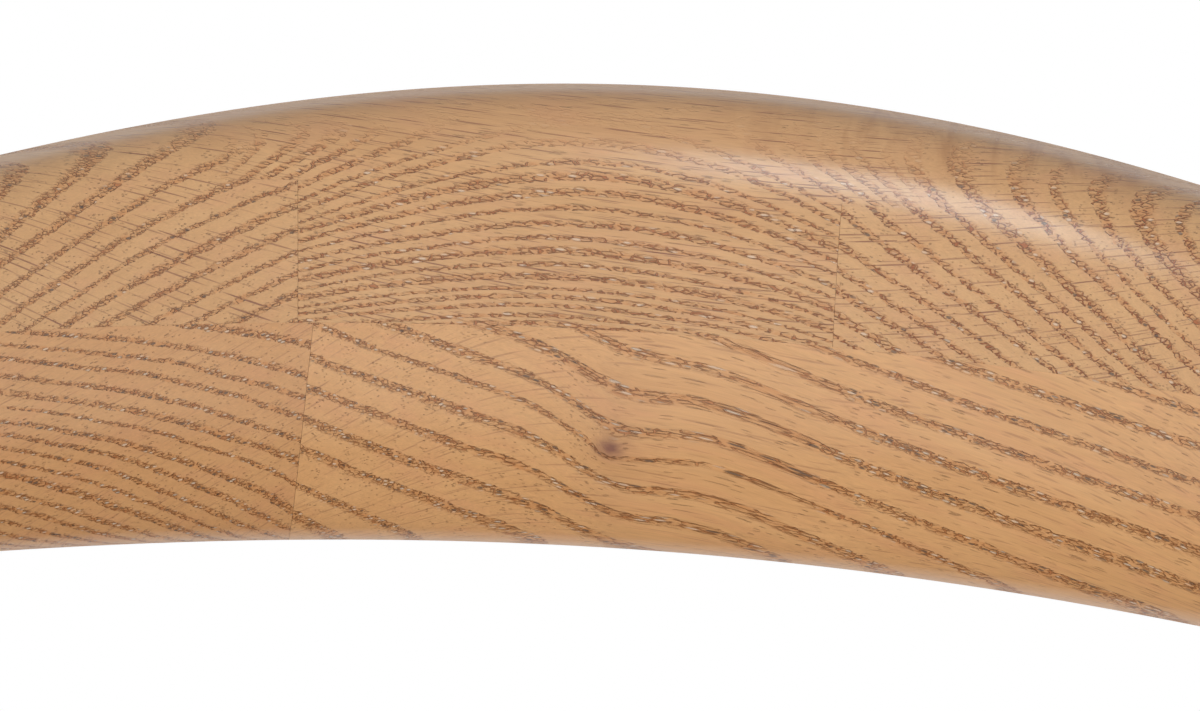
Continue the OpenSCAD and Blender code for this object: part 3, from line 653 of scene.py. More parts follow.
def carving_tree():
    tree, given, end = node_group("carved rail block", "GeometryNodeTree", [
        ("Geometry", GEOMETRY, None),
        ("Start Angle", FLOAT, -10.0), ("End Angle", FLOAT, 10.0),
        ("Start Lean", FLOAT, 0.0), ("End Lean", FLOAT, 0.0),
        ("Low", FLOAT, 0.0), ("High", FLOAT, 1.0),
        ("Steps Along", WHOLE, 60), ("Steps Round", WHOLE, 100),
        ("Finish", MATERIAL, None)], [("Geometry", GEOMETRY)])
    sheet = made_by(tree, "GeometryNodeMeshGrid", Size_X=1.0, Size_Y=1.0,
                    Vertices_X=given["Steps Along"] + 3.0, Vertices_Y=given["Steps Round"] + 1.0)
    across, round_it, _ = split(made_by(tree, "GeometryNodeInputPosition"))

    # The first and last columns of the sheet close the block's two joint faces
    column = (across + 0.5) * (given["Steps Along"] + 2.0) - 1.0
    along = clamp(column / given["Steps Along"])
    past = clamp(0.0 - column) + clamp(column - given["Steps Along"])
    turn = round_it + 0.5
    lift = clamp(turn / FACE_SHARE) - clamp((turn - 0.5) / FACE_SHARE)
    over, back = (clamp((turn - start) / EDGE_SHARE) for start in (FACE_SHARE, 0.5 + FACE_SHARE))
    side = (2.0 * over - 2.0 * back - 1.0) * (1.0 - past)
    plain = given["Start Angle"] + (given["End Angle"] - given["Start Angle"]) * along

    def section(angle):
        """Radius and height of the point at this angle."""
        size = maths("ABSOLUTE", angle)
        part = maths("SINE", maths("MINIMUM", size / RAIL_HALF_ANGLE, 1.0) * (math.pi / 2))
        part = part * part
        high = BACK_H - ARM_DROP * part
        low = BACK_H - RAIL_H + ARM_RISE * part * part
        half_t = (RAIL_T + (ARM_T - RAIL_T) * part) * 0.5
        half_h, middle = (high - low) * 0.5, (high + low) * 0.5
        quarter = maths("MINIMUM", (size - RAIL_HALF_ANGLE) / TIP_ANGLE, 1.0)
        quarter = maths("MAXIMUM", quarter, 0.0) * (math.pi / 2 * TIP_TURN)

        def roll_at(height):
            up = (height - middle) / half_h
            up = maths("MAXIMUM", maths("MINIMUM", up, 1.0), -1.0)
            bent = maths("ARCSINE", maths("ABSOLUTE", up) ** (RAIL_SQUARE / 2))
            return bent * maths("SIGN", up)

        first, last = roll_at(given["Low"]), roll_at(given["High"])
        roll = first + (last - first) * lift
        shrink = maths("COSINE", quarter)
        out = maths("MAXIMUM", maths("COSINE", roll), 0.0) ** (2 / RAIL_SQUARE)
        sine = maths("SINE", roll)
        up = maths("ABSOLUTE", sine) ** (2 / RAIL_SQUARE) * maths("SIGN", sine)
        radius = RAIL_R + half_t * (1.0 + shrink * side * out)
        ends = [maths("ABSOLUTE", maths("SINE", w)) ** (2 / RAIL_SQUARE) * maths(
            "SIGN", maths("SINE", w)) for w in (first, last)]
        centre = (ends[0] + ends[1]) * 0.5
        up = up + (centre - up) * past
        return radius, middle + shrink * half_h * up, quarter

    def leaning(radius, height):
        """The angle of the point once the joints lean."""
        def at_joint(angle, lean):
            rise = (height - SEAM_Z) * maths("TANGENT", lean * (math.pi / 180)) / radius
            return angle + maths("ARCSINE", rise) * (180 / math.pi)
        first = at_joint(given["Start Angle"], given["Start Lean"])
        last = at_joint(given["End Angle"], given["End Lean"])
        return first + (last - first) * along

    radius, height, _ = section(plain)
    for _ in range(2):
        angle = leaning(radius, height)
        radius, height, quarter = section(angle)
    # Past the straight end, the angle follows the rounded tip
    inside = maths("MINIMUM", maths("ABSOLUTE", angle), RAIL_HALF_ANGLE)
    real = (inside + TIP_ANGLE * maths("SINE", quarter)) * maths("SIGN", angle) * (math.pi / 180)
    place = join(radius * maths("SINE", real), RAIL_CENTRE_Y + radius * maths("COSINE", real),
                 height)
    carved = made_by(tree, "GeometryNodeSetPosition", Geometry=sheet, Position=place)
    sewn = made_by(tree, "GeometryNodeMergeByDistance", Geometry=carved, Distance=SAME_POINT)
    return dressed(sewn, given, end)


CARVING = carving_tree()
print("carving tree has", len(CARVING.nodes), "nodes")


# %% [markdown]
# A helper runs a tree once and keeps the result as a plain mesh. Another joins a finished mesh
# to the model: it says which body the piece rides on, which node it stands for and which
# finish it takes.


# %% From a node tree to a piece
def run_tree(tree, name, source=None, **values):
    """Runs a Geometry Nodes tree with these inputs, on a mesh if one is given."""
    holder = new_object(name, source or bpy.data.meshes.new(name))
    modifier = holder.modifiers.new("tree", "NODES")
    modifier.node_group = tree
    sockets = {s.name: s.identifier for s in tree.interface.items_tree
               if s.item_type == "SOCKET" and s.in_out == "INPUT"}
    for label, value in values.items():
        modifier[sockets[label.replace("_", " ")]] = value
    graph = bpy.context.evaluated_depsgraph_get()
    mesh = bpy.data.meshes.new_from_object(holder.evaluated_get(graph))
    mesh.name = name
    bpy.data.objects.remove(holder)
    return mesh


def piece(name, mesh, node=None, material=None, sharp=32.0):
    """Puts a finished mesh into the model, in place of a node where one is named."""
    obj = new_object(name, mesh)
    if material is not None:
        mesh.materials.clear()
        mesh.materials.append(material)
    mesh.shade_smooth()
    mesh.set_sharp_from_angle(angle=math.radians(sharp))
    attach(obj, "root")
    if node is not None:
        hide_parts(node)
    return obj


def clean(mesh):
    """Takes out faces without area that a closed seam leaves behind."""
    work = bmesh.new()
    work.from_mesh(mesh)
    bmesh.ops.remove_doubles(work, verts=work.verts, dist=SAME_POINT)
    bmesh.ops.dissolve_degenerate(work, edges=work.edges, dist=NO_LENGTH)
    bmesh.ops.recalc_face_normals(work, faces=work.faces)
    open_edges = sum(1 for e in work.edges if len(e.link_faces) != 2)
    work.to_mesh(mesh)
    work.free()
    return open_edges


# %% [markdown]
# The joints show on the real rail as hairlines, where a little glue and a change of grain meet.
# Each block stops a few hundredths of a millimetre short of its joints, and the line of shade
# in between does the rest. The seam between the two rows is tighter still.

# %% The nine blocks of the back
HALF_JOINT, SEAM, FACE_R = 0.00003, 0.000012, 0.255
GLUE = math.degrees(HALF_JOINT / FACE_R)
TIP_END = RAIL_HALF_ANGLE + TIP_ANGLE
LOWER_ROW = ("lower_block_left_arm", "lower_block_left", "lower_block_centre",
             "lower_block_right", "lower_block_right_arm")
UPPER_ROW = ("upper_block_left", "upper_block_centre", "upper_block_right")
block_cuts = {}


def cut_row(names, ends, lean, z_low, z_high):
    """The cuts of a row of blocks. Each stops a film of glue short of a joint, not of an end."""
    for k, name in enumerate(names):
        at_start, at_stop = k > 0, k < len(names) - 1
        block_cuts[name] = (ends[k] + GLUE * at_start, ends[k + 1] - GLUE * at_stop,
                            lean * at_start, lean * at_stop, z_low, z_high)


cut_row(LOWER_ROW, (-TIP_END, *LOWER_JOINTS, TIP_END), LOWER_LEAN, BACK_H - RAIL_H - 0.01,
        SEAM_Z - SEAM)
cut_row(UPPER_ROW, (-edge_angle(SEAM_Z), *UPPER_JOINTS, edge_angle(SEAM_Z)), 0, SEAM_Z,
        CAP_Z - SEAM)
cut_row(["crest_cap"], (-edge_angle(CAP_Z), edge_angle(CAP_Z)), 0, CAP_Z, BACK_H + 0.01)
for name, (start, stop, lean_a, lean_b, z_low, z_high) in block_cuts.items():
    carved = run_tree(CARVING, name + "_carved", Start_Angle=float(start), End_Angle=float(stop),
                      Start_Lean=float(lean_a), End_Lean=float(lean_b), Low=z_low, High=z_high,
                      Steps_Along=int((stop - start) * 3.2), Steps_Round=150,
                      Finish=block_oak[name])
    gaps = clean(carved)
    if name == "crest_cap":
        carved.materials.clear()
        carved.materials.append(block_oak[name])
        carved.materials.append(crest_right)
        for face in carved.polygons:
            angle = math.degrees(math.atan2(face.center.x, face.center.y - RAIL_CENTRE_Y))
            face.material_index = int(angle > CAP_SPLIT)
    piece(name + "_carved", carved, name)
    near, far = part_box(name)
    print(name, len(carved.polygons), "faces, open edges", gaps, "in a box of",
          [round((b - a) * 1000) for a, b in zip(near, far)], "mm")

# %% [markdown]
# ## Turned legs
# A leg is turned on a lathe from one length of oak: slim at the floor, thickest just under the
# seat, slimmer again where a rear leg meets the rail. A skin through rings of points gives this
# shape exactly, and every ring can still be fitted to what it meets. The foot is cut level. A
# front leg ends in a low dome. The top of a rear leg is cut to the rounded underside of the
# rail, and a round tenon goes on from there into the rail.

# %% Where the legs stand
LEG_ANGLE = 38.0
LEG_FOOT_R, LEG_R, LEG_TOP_R, LEG_BELLY_Z = 0.014, 0.019, 0.0135, 0.560
FRAME_TOP = SEAT_H - 0.057
FRONT_LEG_TOP = FRAME_TOP + 0.022
TENON_R, TENON_LEN, GLIDE_H = 0.010, 0.034, 0.004
socket_r = RAIL_R + rail_width(LEG_ANGLE) / 2
SOCKET_Z = rail_bottom(LEG_ANGLE)
SPLAY = (
    (FOOT_X - socket_r * math.sin(math.radians(LEG_ANGLE))) / SOCKET_Z,
    (FOOT_Y - RAIL_CENTRE_Y - socket_r * math.cos(math.radians(LEG_ANGLE))) / SOCKET_Z)
FOOT = (FOOT_X, FOOT_Y)
LEG_WAY = Vector((-SPLAY[0], -SPLAY[1], 1)).normalized()


def leg_at(axis, z):
    """How far from the middle a leg's centre is at height z, along x (0) or y (1)."""
    return FOOT[axis] - SPLAY[axis] * z


def leg_radius(z):
    z = np.asarray(z, float)
    lower = LEG_FOOT_R + (LEG_R - LEG_FOOT_R) * np.sin(np.pi / 2 * z / LEG_BELLY_Z) ** 2
    share_up = np.clip((z - LEG_BELLY_Z) / (SOCKET_Z - LEG_BELLY_Z), 0, 1.05)
    upper = LEG_R - (LEG_R - LEG_TOP_R) * np.sin(np.pi / 2 * share_up) ** 2
    return np.where(z < LEG_BELLY_Z, lower, upper)


def rail_underside(x, y):
    """Height of the rail's rounded underside over a place."""
    r = np.hypot(x, y - RAIL_CENTRE_Y)
    a = np.degrees(np.arctan2(x, y - RAIL_CENTRE_Y))
    top, low, half_t = (np.array([f(v) for v in a]) for f in (
        rail_top, rail_bottom, lambda v: rail_width(v) / 2))
    off = np.clip(np.abs(r - RAIL_R - half_t) / half_t, 0, 1) ** (RAIL_SQUARE / 2)
    return (top + low) / 2 - (top - low) / 2 * np.sqrt(1 - off ** 2) ** (2 / RAIL_SQUARE)


print("legs lean", [round(math.degrees(math.atan(v)), 2) for v in SPLAY], "degrees")


# %% A skin through rings
def skin(name, rings):
    """A closed mesh through equal rings of points, each end closed by a fan."""
    rings = [np.asarray(r, float) for r in rings]
    n = len(rings[0])
    points = np.vstack([*rings, rings[0].mean(0)[None], rings[-1].mean(0)[None]])
    faces = [(i * n + k, i * n + (k + 1) % n, (i + 1) * n + (k + 1) % n, (i + 1) * n + k)
             for i in range(len(rings) - 1) for k in range(n)]
    start, end, last = n * len(rings), n * len(rings) + 1, n * (len(rings) - 1)
    faces += [(start, (k + 1) % n, k) for k in range(n)]
    faces += [(end, last + k, last + (k + 1) % n) for k in range(n)]
    mesh = bpy.data.meshes.new(name)
    mesh.from_pydata(points.tolist(), [], faces)
    clean(mesh)
    return mesh


side_way = LEG_WAY.cross(Vector((0, 1, 0))).normalized()
front_way = LEG_WAY.cross(side_way)
LATHE = np.array([math.cos(t) * side_way + math.sin(t) * front_way
                  for t in np.linspace(0, 2 * np.pi, 56, endpoint=False)])
WAY = np.array(LEG_WAY)


def leg_ring(z, radius=None, level=None, under_rail=False):
    """One ring of a leg, square to its axis, or cut level or to the rail's underside."""
    middle = np.array((leg_at(0, z), leg_at(1, z), z))
    ring = middle + LATHE * (leg_radius(z) if radius is None else radius)
    if level is not None:
        ring = ring + WAY * ((level - ring[:, 2:]) / WAY[2])
    for _ in range(4 if under_rail else 0):
        ring = ring + WAY * ((rail_underside(ring[:, 0], ring[:, 1])[:, None] - ring[:, 2:]))
    return ring


FOOT_BEVEL, TENON_BEVEL = 0.0008, 0.0015


def leg_rings(rear):
    foot = [leg_ring(GLIDE_H, leg_radius(0) - FOOT_BEVEL, level=GLIDE_H),
            leg_ring(GLIDE_H, level=GLIDE_H + FOOT_BEVEL)]
    if rear:
        body = [leg_ring(z) for z in np.linspace(0.012, SOCKET_Z - 0.006, 70)]
        tenon = [leg_ring(SOCKET_Z, under_rail=True),
                 leg_ring(SOCKET_Z, TENON_R, under_rail=True)]
        top = SOCKET_Z + TENON_LEN * WAY[2]
        return foot + body + tenon + [leg_ring(top - TENON_BEVEL, TENON_R),
                                      leg_ring(top, TENON_R - TENON_BEVEL)]
    body = [leg_ring(z) for z in np.linspace(0.012, FRONT_LEG_TOP, 60)]
    r = float(leg_radius(FRONT_LEG_TOP))
    dome = [leg_ring(FRONT_LEG_TOP + 0.5 * r * math.sin(q) * WAY[2], r * math.cos(q))
            for q in np.linspace(0.12, math.pi / 2 * 0.97, 12)]
    return foot + body + dome


for row, sy in (("front", -1), ("rear", 1)):
    for hand, sx in (("left", -1), ("right", 1)):
        name = f"{row}_leg_{hand}"
        rings = [r * np.array((sx, sy, 1)) for r in leg_rings(row == "rear")]
        way = (LEG_WAY.x * sx, LEG_WAY.y * sy, LEG_WAY.z)
        seed = 20.0 + 3 * sx + sy
        wood = oak_finish("oak_" + name, way, (0.7 * sx, 0.7, 0.05), (sx * 0.2, sy * 0.19, 0.3),
                          Ring_Spacing=2.6, Ring_Bend=0.012, Seed=seed, Rays=0.8)
        leg = piece(name + "_turned", skin(name + "_turned", rings), name, wood)
        print(leg.name, len(leg.data.polygons), "faces")

# %% [markdown]
# ## Bars between the legs
# The seat rails and the stretchers run from leg to leg, and their ends are cut to the round of
# the legs. So each is a skin through copies of one outline, stretched until every point of the
# outline just enters a leg. The seat rails have softened edges. The stretchers are turned,
# thickest in the middle, and end in round tenons inside the legs.


# %% Bars fitted to the legs
def rounded(width, height, radius, steps=5):
    """Outline of a rectangle with rounded corners, round its own middle."""
    points = []
    for cx, cy, turn in ((1, 1, 0), (-1, 1, 1), (-1, -1, 2), (1, -1, 3)):
        for k in range(steps + 1):
            q = math.pi / 2 * (turn + k / steps)
            points.append((cx * (width / 2 - radius) + radius * math.cos(q),
                           cy * (height / 2 - radius) + radius * math.sin(q)))
    return np.array(points)


def circle(radius, count=40):
    """Outline of a circle round its own middle."""
    t = np.linspace(0, 2 * np.pi, count, endpoint=False)
    return np.stack([radius * np.cos(t), radius * np.sin(t)], 1)


def bar(name, axis, side, outline_at, height, lay_at, tenon, steps=44):
    """A bar along x (axis 0) or y (axis 1), on one side of the stool, from leg to leg."""
    def reach(loop):
        across, z = lay_at + loop[:, 0], height + loop[:, 1]
        off = across - leg_at(1 - axis, z)
        return leg_at(axis, z) - np.sqrt(np.maximum(leg_radius(z) ** 2 - off ** 2, 1e-8)) + 0.0003

    def ring(loop, along):
        place = np.zeros((len(loop), 3))
        place[:, axis] = along
        place[:, 1 - axis] = side * (lay_at + loop[:, 0])
        place[:, 2] = height + loop[:, 1]
        return place

    rings = [ring(outline_at(s), s * reach(outline_at(s))) for s in np.linspace(-1, 1, steps)]
    if tenon:
        loop = circle(tenon)
        stop = leg_at(axis, height) + 0.004
        rings = [ring(loop, -stop), ring(loop, -reach(loop))] + rings + [
            ring(loop, reach(loop)), ring(loop, stop)]
    return skin(name, rings)


def rail_outline(_):
    return rounded(0.022, 0.060, 0.0022)


def stretcher_outline(s):
    """Thickest at the middle of the bar, where s is 0, and thinnest at its ends, -1 and 1."""
    return circle(0.009 + 0.003 * (1 - s * s))


def add_bar(name, ending, axis, side, outline_at, height, tenon, ways, centre, **rings):
    """Makes one bar of its own oak; ways are the fibre and ring directions of a bar along x."""
    mesh = bar(name + ending, axis, side, outline_at, height, leg_at(1 - axis, height), tenon)
    fibre, across = (way if axis == 0 else (way[1], way[0], way[2]) for way in ways)
    wood = oak_finish("oak_" + name, fibre, across, centre, **rings)
    piece(name + ending, mesh, name, wood)


frame_mid = FRAME_TOP - 0.030
for name, axis, side, seed in (("seat_rail_front", 0, -1, 31.0), ("seat_rail_back", 0, 1, 33.0),
                               ("seat_rail_left", 1, -1, 35.0), ("seat_rail_right", 1, 1, 37.0)):
    add_bar(name, "_fitted", axis, side, rail_outline, frame_mid, 0.0,
            ((1, 0.02, 0.01), (0, 0.5, 0.85)), (side * 0.17, side * 0.17, 0.5),
            Ring_Spacing=3.4, Ring_Bend=0.01, Seed=seed)
for name, axis, side, height, seed in (
        ("side_stretcher_left", 1, -1, 0.300, 41.0), ("side_stretcher_right", 1, 1, 0.300, 43.0),
        ("back_stretcher", 0, 1, 0.255, 45.0)):
    add_bar(name, "_turned", axis, side, stretcher_outline, height, 0.007,
            ((1, 0, 0.01), (0, 0.6, 0.8)), (side * 0.2, side * 0.2, height),
            Ring_Spacing=2.8, Ring_Bend=0.012, Seed=seed)
print("four seat rails and three stretchers")

# %% [markdown]
# ## Leather seat
# The seat is a foam pad on a plywood board under one piece of smooth dark leather, with piping
# round its widest line. Leather over foam isn't a plain dome: it is pulled in at the piping and
# swells between. The pad starts as a ring mesh, a little lower than the real one. Blender's
# cloth then blows it up with a little pressure, held at the piping and underneath, and what it
# gains is capped. The crease at the piping and fine pulls in the leather come after that.

# %% Outline of the seat
SEAT_SQUARE, PAD_ROUND = 2.3, 2.6
WAIST_Z, DRAW_IN = FRAME_TOP + 0.022, 0.008
BOARD_Z, BOARD_T, COVER_T = FRAME_TOP + 0.0015, 0.012, 0.0015
GAP_TO_LEG = 0.0115
SEAT_HALF = [(leg_at(a, WAIST_Z) - (LEG_R + GAP_TO_LEG) * math.sqrt(0.5)) * 2 ** (1 / SEAT_SQUARE)
             for a in (0, 1)]


def signed_power(v, e):
    return np.sign(v) * np.abs(v) ** e


def seat_ring(inset, z, scale=1.0, count=192):
    """A ring of the seat, evenly spaced along its outline."""
    w = np.linspace(0, 2 * np.pi, 8 * count, endpoint=False)
    flat = np.stack([(SEAT_HALF[0] - inset) * scale * signed_power(np.cos(w), 2 / SEAT_SQUARE),
                     (SEAT_HALF[1] - inset) * scale * signed_power(np.sin(w), 2 / SEAT_SQUARE)], 1)
    step = np.linalg.norm(np.diff(flat, axis=0, append=flat[:1]), axis=1)
    run = np.concatenate([[0], np.cumsum(step)])
    want = np.linspace(0, run[-1], count, endpoint=False)
    closed = np.vstack([flat, flat[:1]])
    return np.stack([np.interp(want, run, closed[:, 0]), np.interp(want, run, closed[:, 1]),
                     np.full(count, z)], 1)


def pad_rings(inset, foot_z, crown):
    """Rings from the foot of the pad over the waist to the crown."""
    rings = []
    for s in np.linspace(0, 1, 9)[:-1]:
        z = foot_z + (WAIST_Z - foot_z) * s
        drawn = DRAW_IN * ((WAIST_Z - z) / (WAIST_Z - FRAME_TOP)) ** 2
        rings.append(seat_ring(inset + drawn, z))
    for q in np.linspace(0, 1, 34) ** 0.9 * math.radians(88):
        size = math.cos(q) ** (2 / PAD_ROUND)
        lift = math.sin(q) ** (2 / PAD_ROUND)
        rings.append(seat_ring(inset, WAIST_Z + (SEAT_H - inset - WAIST_Z) * lift * crown, size))
    return rings


print("seat is", [round(2 * v, 4) for v in SEAT_HALF], "m wide and deep at its waist")


# %% Blow the pad up with cloth
def blow_up(mesh, held, pressure, frames, cap):
    """Cloth under a little pressure, then the mesh as it came out, each move capped."""
    obj = new_object("blown", mesh)
    grip = obj.vertex_groups.new(name="held")
    for index, weight in enumerate(held):
        grip.add([index], float(weight), "REPLACE")
    modifier = obj.modifiers.new("leather", "CLOTH")
    cloth = modifier.settings
    cloth.quality, cloth.mass = 5, 0.3
    cloth.tension_stiffness = cloth.compression_stiffness = 30
    cloth.shear_stiffness, cloth.bending_stiffness = 20, 2
    cloth.use_pressure, cloth.uniform_pressure_force = True, pressure
    cloth.effector_weights.gravity = 0
    cloth.vertex_group_mass = "held"
    cloth.pin_stiffness = 1.0
    modifier.point_cache.frame_start, modifier.point_cache.frame_end = 1, frames
    scene = bpy.context.scene
    for step in range(1, frames + 1):
        scene.frame_set(step)
    graph = bpy.context.evaluated_depsgraph_get()
    after = bpy.data.meshes.new_from_object(obj.evaluated_get(graph))
    start = np.array([v.co for v in mesh.vertices])
    now = np.array([v.co for v in after.vertices])
    move = now - start
    size = np.linalg.norm(move, axis=1, keepdims=True)
    move *= cap * np.tanh(size / cap) / np.maximum(size, 1e-9)
    bpy.data.objects.remove(obj)
    scene.frame_set(1)
    return start + move


start_rings = pad_rings(0.0006, FRAME_TOP, crown=0.955)
pad = skin("seat_leather", start_rings)
at_rest = np.array([v.co for v in pad.vertices])
held = np.zeros(len(at_rest))
held[at_rest[:, 2] < FRAME_TOP + 0.004] = 1.0
held[np.abs(at_rest[:, 2] - WAIST_Z) < 0.0008] = 1.0
shape = blow_up(pad, held, pressure=3.0, frames=20, cap=0.006)
print("cloth moved the pad by up to", round(float(np.abs(shape - at_rest).max() * 1000), 2), "mm")

# %% [markdown]
# The crease at the piping is a small valley that follows the waist. The pulls are shallow
# waves that start at the piping and fade towards the middle, as in leather that is stretched
# over a rounded edge and stapled underneath. A wide, very shallow hollow is left by use.


# %% Crease, pulls and hollow
def waves(angle, seed, low, high, count=9):
    """A smooth closed wave round the seat made of a few seeded parts."""
    luck = random.Random(seed)
    total = np.zeros_like(angle)
    for _ in range(count):
        size, number, shift = luck.uniform(0.4, 1.0), luck.randint(low, high), luck.uniform(0, 6.3)
        total += size * np.cos(number * angle + shift)
    return total / count ** 0.5


angle = np.arctan2(shape[:, 1], shape[:, 0])
rise = shape[:, 2] - WAIST_Z
outward = np.stack([np.cos(angle), np.sin(angle), np.zeros_like(angle)], 1)


def near_height(at, width):
    """1 at this height over the waist, fading to 0 above and below."""
    return np.exp(-((rise - at) / width) ** 2)


crease = -0.0013 * near_height(0, 0.0028)
edge = near_height(0.012, 0.010)
pulls = (0.00035 * waves(angle, 7, 26, 60) * edge
         + 0.0002 * waves(angle, 8, 60, 95) * near_height(0.006, 0.005)
         + 0.0004 * waves(angle, 9, 18, 44) * near_height(-0.010, 0.006))
shape = shape + outward * (crease + pulls)[:, None]
hollow = np.exp(-((shape[:, 0] / 0.15) ** 2 + ((shape[:, 1] + 0.02) / 0.13) ** 2) ** 1.5)
shape[:, 2] -= 0.0035 * hollow * (rise > 0.01)
shape[:, 2] += 0.0004 * waves(angle, 11, 2, 7) * edge
shape[:, 2] = np.minimum(shape[:, 2], SEAT_H + 0.001)
pad.vertices.foreach_set("co", shape.astype(np.float32).ravel())

OPEN_MARGIN, TURNED_IN = 0.030, 0.024


def in_outline(x, y, hx, hy):
    """Below 1 inside an outline like the seat's, with these half sizes."""
    return abs(x / hx) ** SEAT_SQUARE + abs(y / hy) ** SEAT_SQUARE


work = bmesh.new()
work.from_mesh(pad)
hole = [v for v in work.verts if v.co.z < FRAME_TOP + 0.0004
        and in_outline(*v.co.xy, *(half - OPEN_MARGIN for half in SEAT_HALF)) < 1]
bmesh.ops.delete(work, geom=hole, context="VERTS")
edges = [e for e in work.edges if e.is_boundary]
turned = bmesh.ops.extrude_edge_only(work, edges=edges)["geom"]
for v in (g for g in turned if isinstance(g, bmesh.types.BMVert)):
    shrink = 1 - TURNED_IN / v.co.xy.length
    v.co.x, v.co.y = v.co.x * shrink, v.co.y * shrink
bmesh.ops.recalc_face_normals(work, faces=work.faces)
work.to_mesh(pad)
work.free()
print("cover has", len(pad.polygons), "faces before its thickness")

# %% [markdown]
# ## Leather
# Smooth finished leather isn't a flat colour. It has a fine pebble grain with tiny valleys
# between the pebbles, slow changes of shade from the dye, and a slightly glossier finish where
# it is rubbed. The grain is a cell pattern in space, so it needs no seams or unwrapping.


# %% Leather finish
def leather_group():
    tree, given, end = node_group("leather grain", "ShaderNodeTree", [
        ("Place", VECTOR, None), ("Grain Size", FLOAT, 1.25), ("Dye", COLOUR, colour(62, 46, 36)),
        ("Worn Dye", COLOUR, colour(92, 68, 52)), ("Wear", FLOAT, 0.5), ("Seed", FLOAT, 0.0)],
        [("Color", COLOUR), ("Roughness", FLOAT), ("Height", FLOAT)])
    place = vectors("ADD", given["Place"], join(given["Seed"] * 31.0, 0.0, 0.0))
    warp = vectors("SUBTRACT", noise(stretched(place, 3, 3, 3), 1.0, 2.0, out="Color"),
                   (0.5, 0.5, 0.5))
    grain_space = vectors("SCALE", vectors("ADD", place, vectors("SCALE", warp, scale=1.6)),
                          scale=1.0 / given["Grain Size"])
    valley = ramp(cells(grain_space, feature="DISTANCE_TO_EDGE"), 0.0, 0.16)
    finer_space = vectors("SCALE", grain_space, scale=2.7)
    fine = ramp(cells(finer_space, feature="DISTANCE_TO_EDGE"), 0.0, 0.2)
    creases = ramp(maths("ABSOLUTE", noise(stretched(place, 7, 7, 7), 1.0, 4.0, 0.6) - 0.5),
                   0.0, 0.02)
    slow = noise(stretched(place, 70, 70, 70), 1.0, 3.0)
    rubbed = ramp(noise(stretched(place, 45, 45, 45), 1.0, 3.0), 0.45, 0.75) * given["Wear"]
    dye_and_valley_shade = blend_colours(clamp(rubbed + (slow - 0.5) * 0.7), given["Dye"], given["Worn Dye"])
    # Painted shade: the colour is darker in the valleys between the pebbles and along the creases.
    dye_and_valley_shade = vectors("SCALE", dye_and_valley_shade, scale=0.62 + 0.32 * valley + 0.08 * creases)
    plug(tree, dye_and_valley_shade, end.inputs["Color"])
    plug(tree, 0.50 - valley * 0.07 - rubbed * 0.08 + (slow - 0.5) * 0.1, end.inputs["Roughness"])
    plug(tree, valley * 0.6 + fine * 0.2 + creases * 0.2, end.inputs["Height"])
    return tree


LEATHER = leather_group()


def leather_finish(name, bump=0.0004, **grain):
    material, tree, shader = finish(name, 0.45, Specular_IOR_Level=0.42, Sheen_Weight=0.06)
    made = place_group(tree, LEATHER, Place=in_millimetres(tree), **grain)
    surface(tree, shader, made["Color"], made["Height"], 0.9, bump, made["Roughness"])
    return material


seat_skin = leather_finish("leather_seat", Seed=1.0)
piping_skin = leather_finish("leather_piping", 0.00025, Seed=2.0, Grain_Size=1.0, Wear=0.8)
print("leather group has", len(LEATHER.nodes), "nodes")

# %% Cover, foam and piping
def thicken(obj, thickness):
    """Gives a sheet its thickness, inwards or downwards from the face that was modelled."""
    wall = obj.modifiers.new("thickness", "SOLIDIFY")
    wall.thickness, wall.offset = thickness, -1


shell = piece("seat_leather", pad, "seat_cover", seat_skin, sharp=60)
thicken(shell, COVER_T)

foam_rings = pad_rings(0.0065, BOARD_Z + BOARD_T + 0.0004, crown=0.86)
foam_mesh = skin("seat_foam_pad", foam_rings)


def foam_finish():
    material, tree, shader = finish("foam_cream", 0.9, Sheen_Weight=0.1)
    place = in_millimetres(tree)
    bubbles = cells(stretched(place, 0.9, 0.9, 0.9), feature="DISTANCE_TO_EDGE")
    yellowed = noise(stretched(place, 60, 60, 60), 1.0, 2.0)
    tint = blend_colours(yellowed, colour(232, 222, 186), colour(214, 196, 146))
    surface(tree, shader, tint, ramp(bubbles, 0.0, 0.3), 0.8, 0.0004)
    return material


foam = piece("seat_foam_pad", foam_mesh, "seat_foam", foam_finish(), sharp=60)

PIPING_R = 0.0025
# This inset sinks the piping into the crease
PIPING_INSET = 0.0019 - PIPING_R + 0.0007
path = seat_ring(PIPING_INSET, WAIST_Z, count=260)
ahead = np.roll(path, -1, 0) - np.roll(path, 1, 0)
away = np.stack([ahead[:, 1], -ahead[:, 0], 0 * ahead[:, 0]], 1)
away /= np.linalg.norm(away, axis=1, keepdims=True)
turns = np.linspace(0, 2 * np.pi, 18, endpoint=False)
thick = PIPING_R * (1 + 0.03 * waves(np.arctan2(path[:, 1], path[:, 0]), 21, 60, 120))[:, None]
loops = np.stack([path + thick * (math.cos(t) * away + np.array((0, 0, math.sin(t))))
                  for t in turns], 1)
rows, sides = loops.shape[:2]
piping_mesh = bpy.data.meshes.new("seat_piping_cord")
piping_mesh.from_pydata(loops.reshape(-1, 3).tolist(), [], [
    (i * sides + k, i * sides + (k + 1) % sides, (i + 1) % rows * sides + (k + 1) % sides,
     (i + 1) % rows * sides + k) for i in range(rows) for k in range(sides)])
clean(piping_mesh)
piece("seat_piping_cord", piping_mesh, "seat_piping", piping_skin, sharp=70)
print("cover, foam and", rows, "rings of piping")

# %% [markdown]
# ## Stitches
# A line of stitches runs just above the piping and holds the seam flat. Stitches repeat along a
# path, so Geometry Nodes place them: a closed curve with the seat's outline is divided by the
# length of a stitch, every point is pulled onto the leather, and a small grain-shaped thread is
# laid there along the curve.


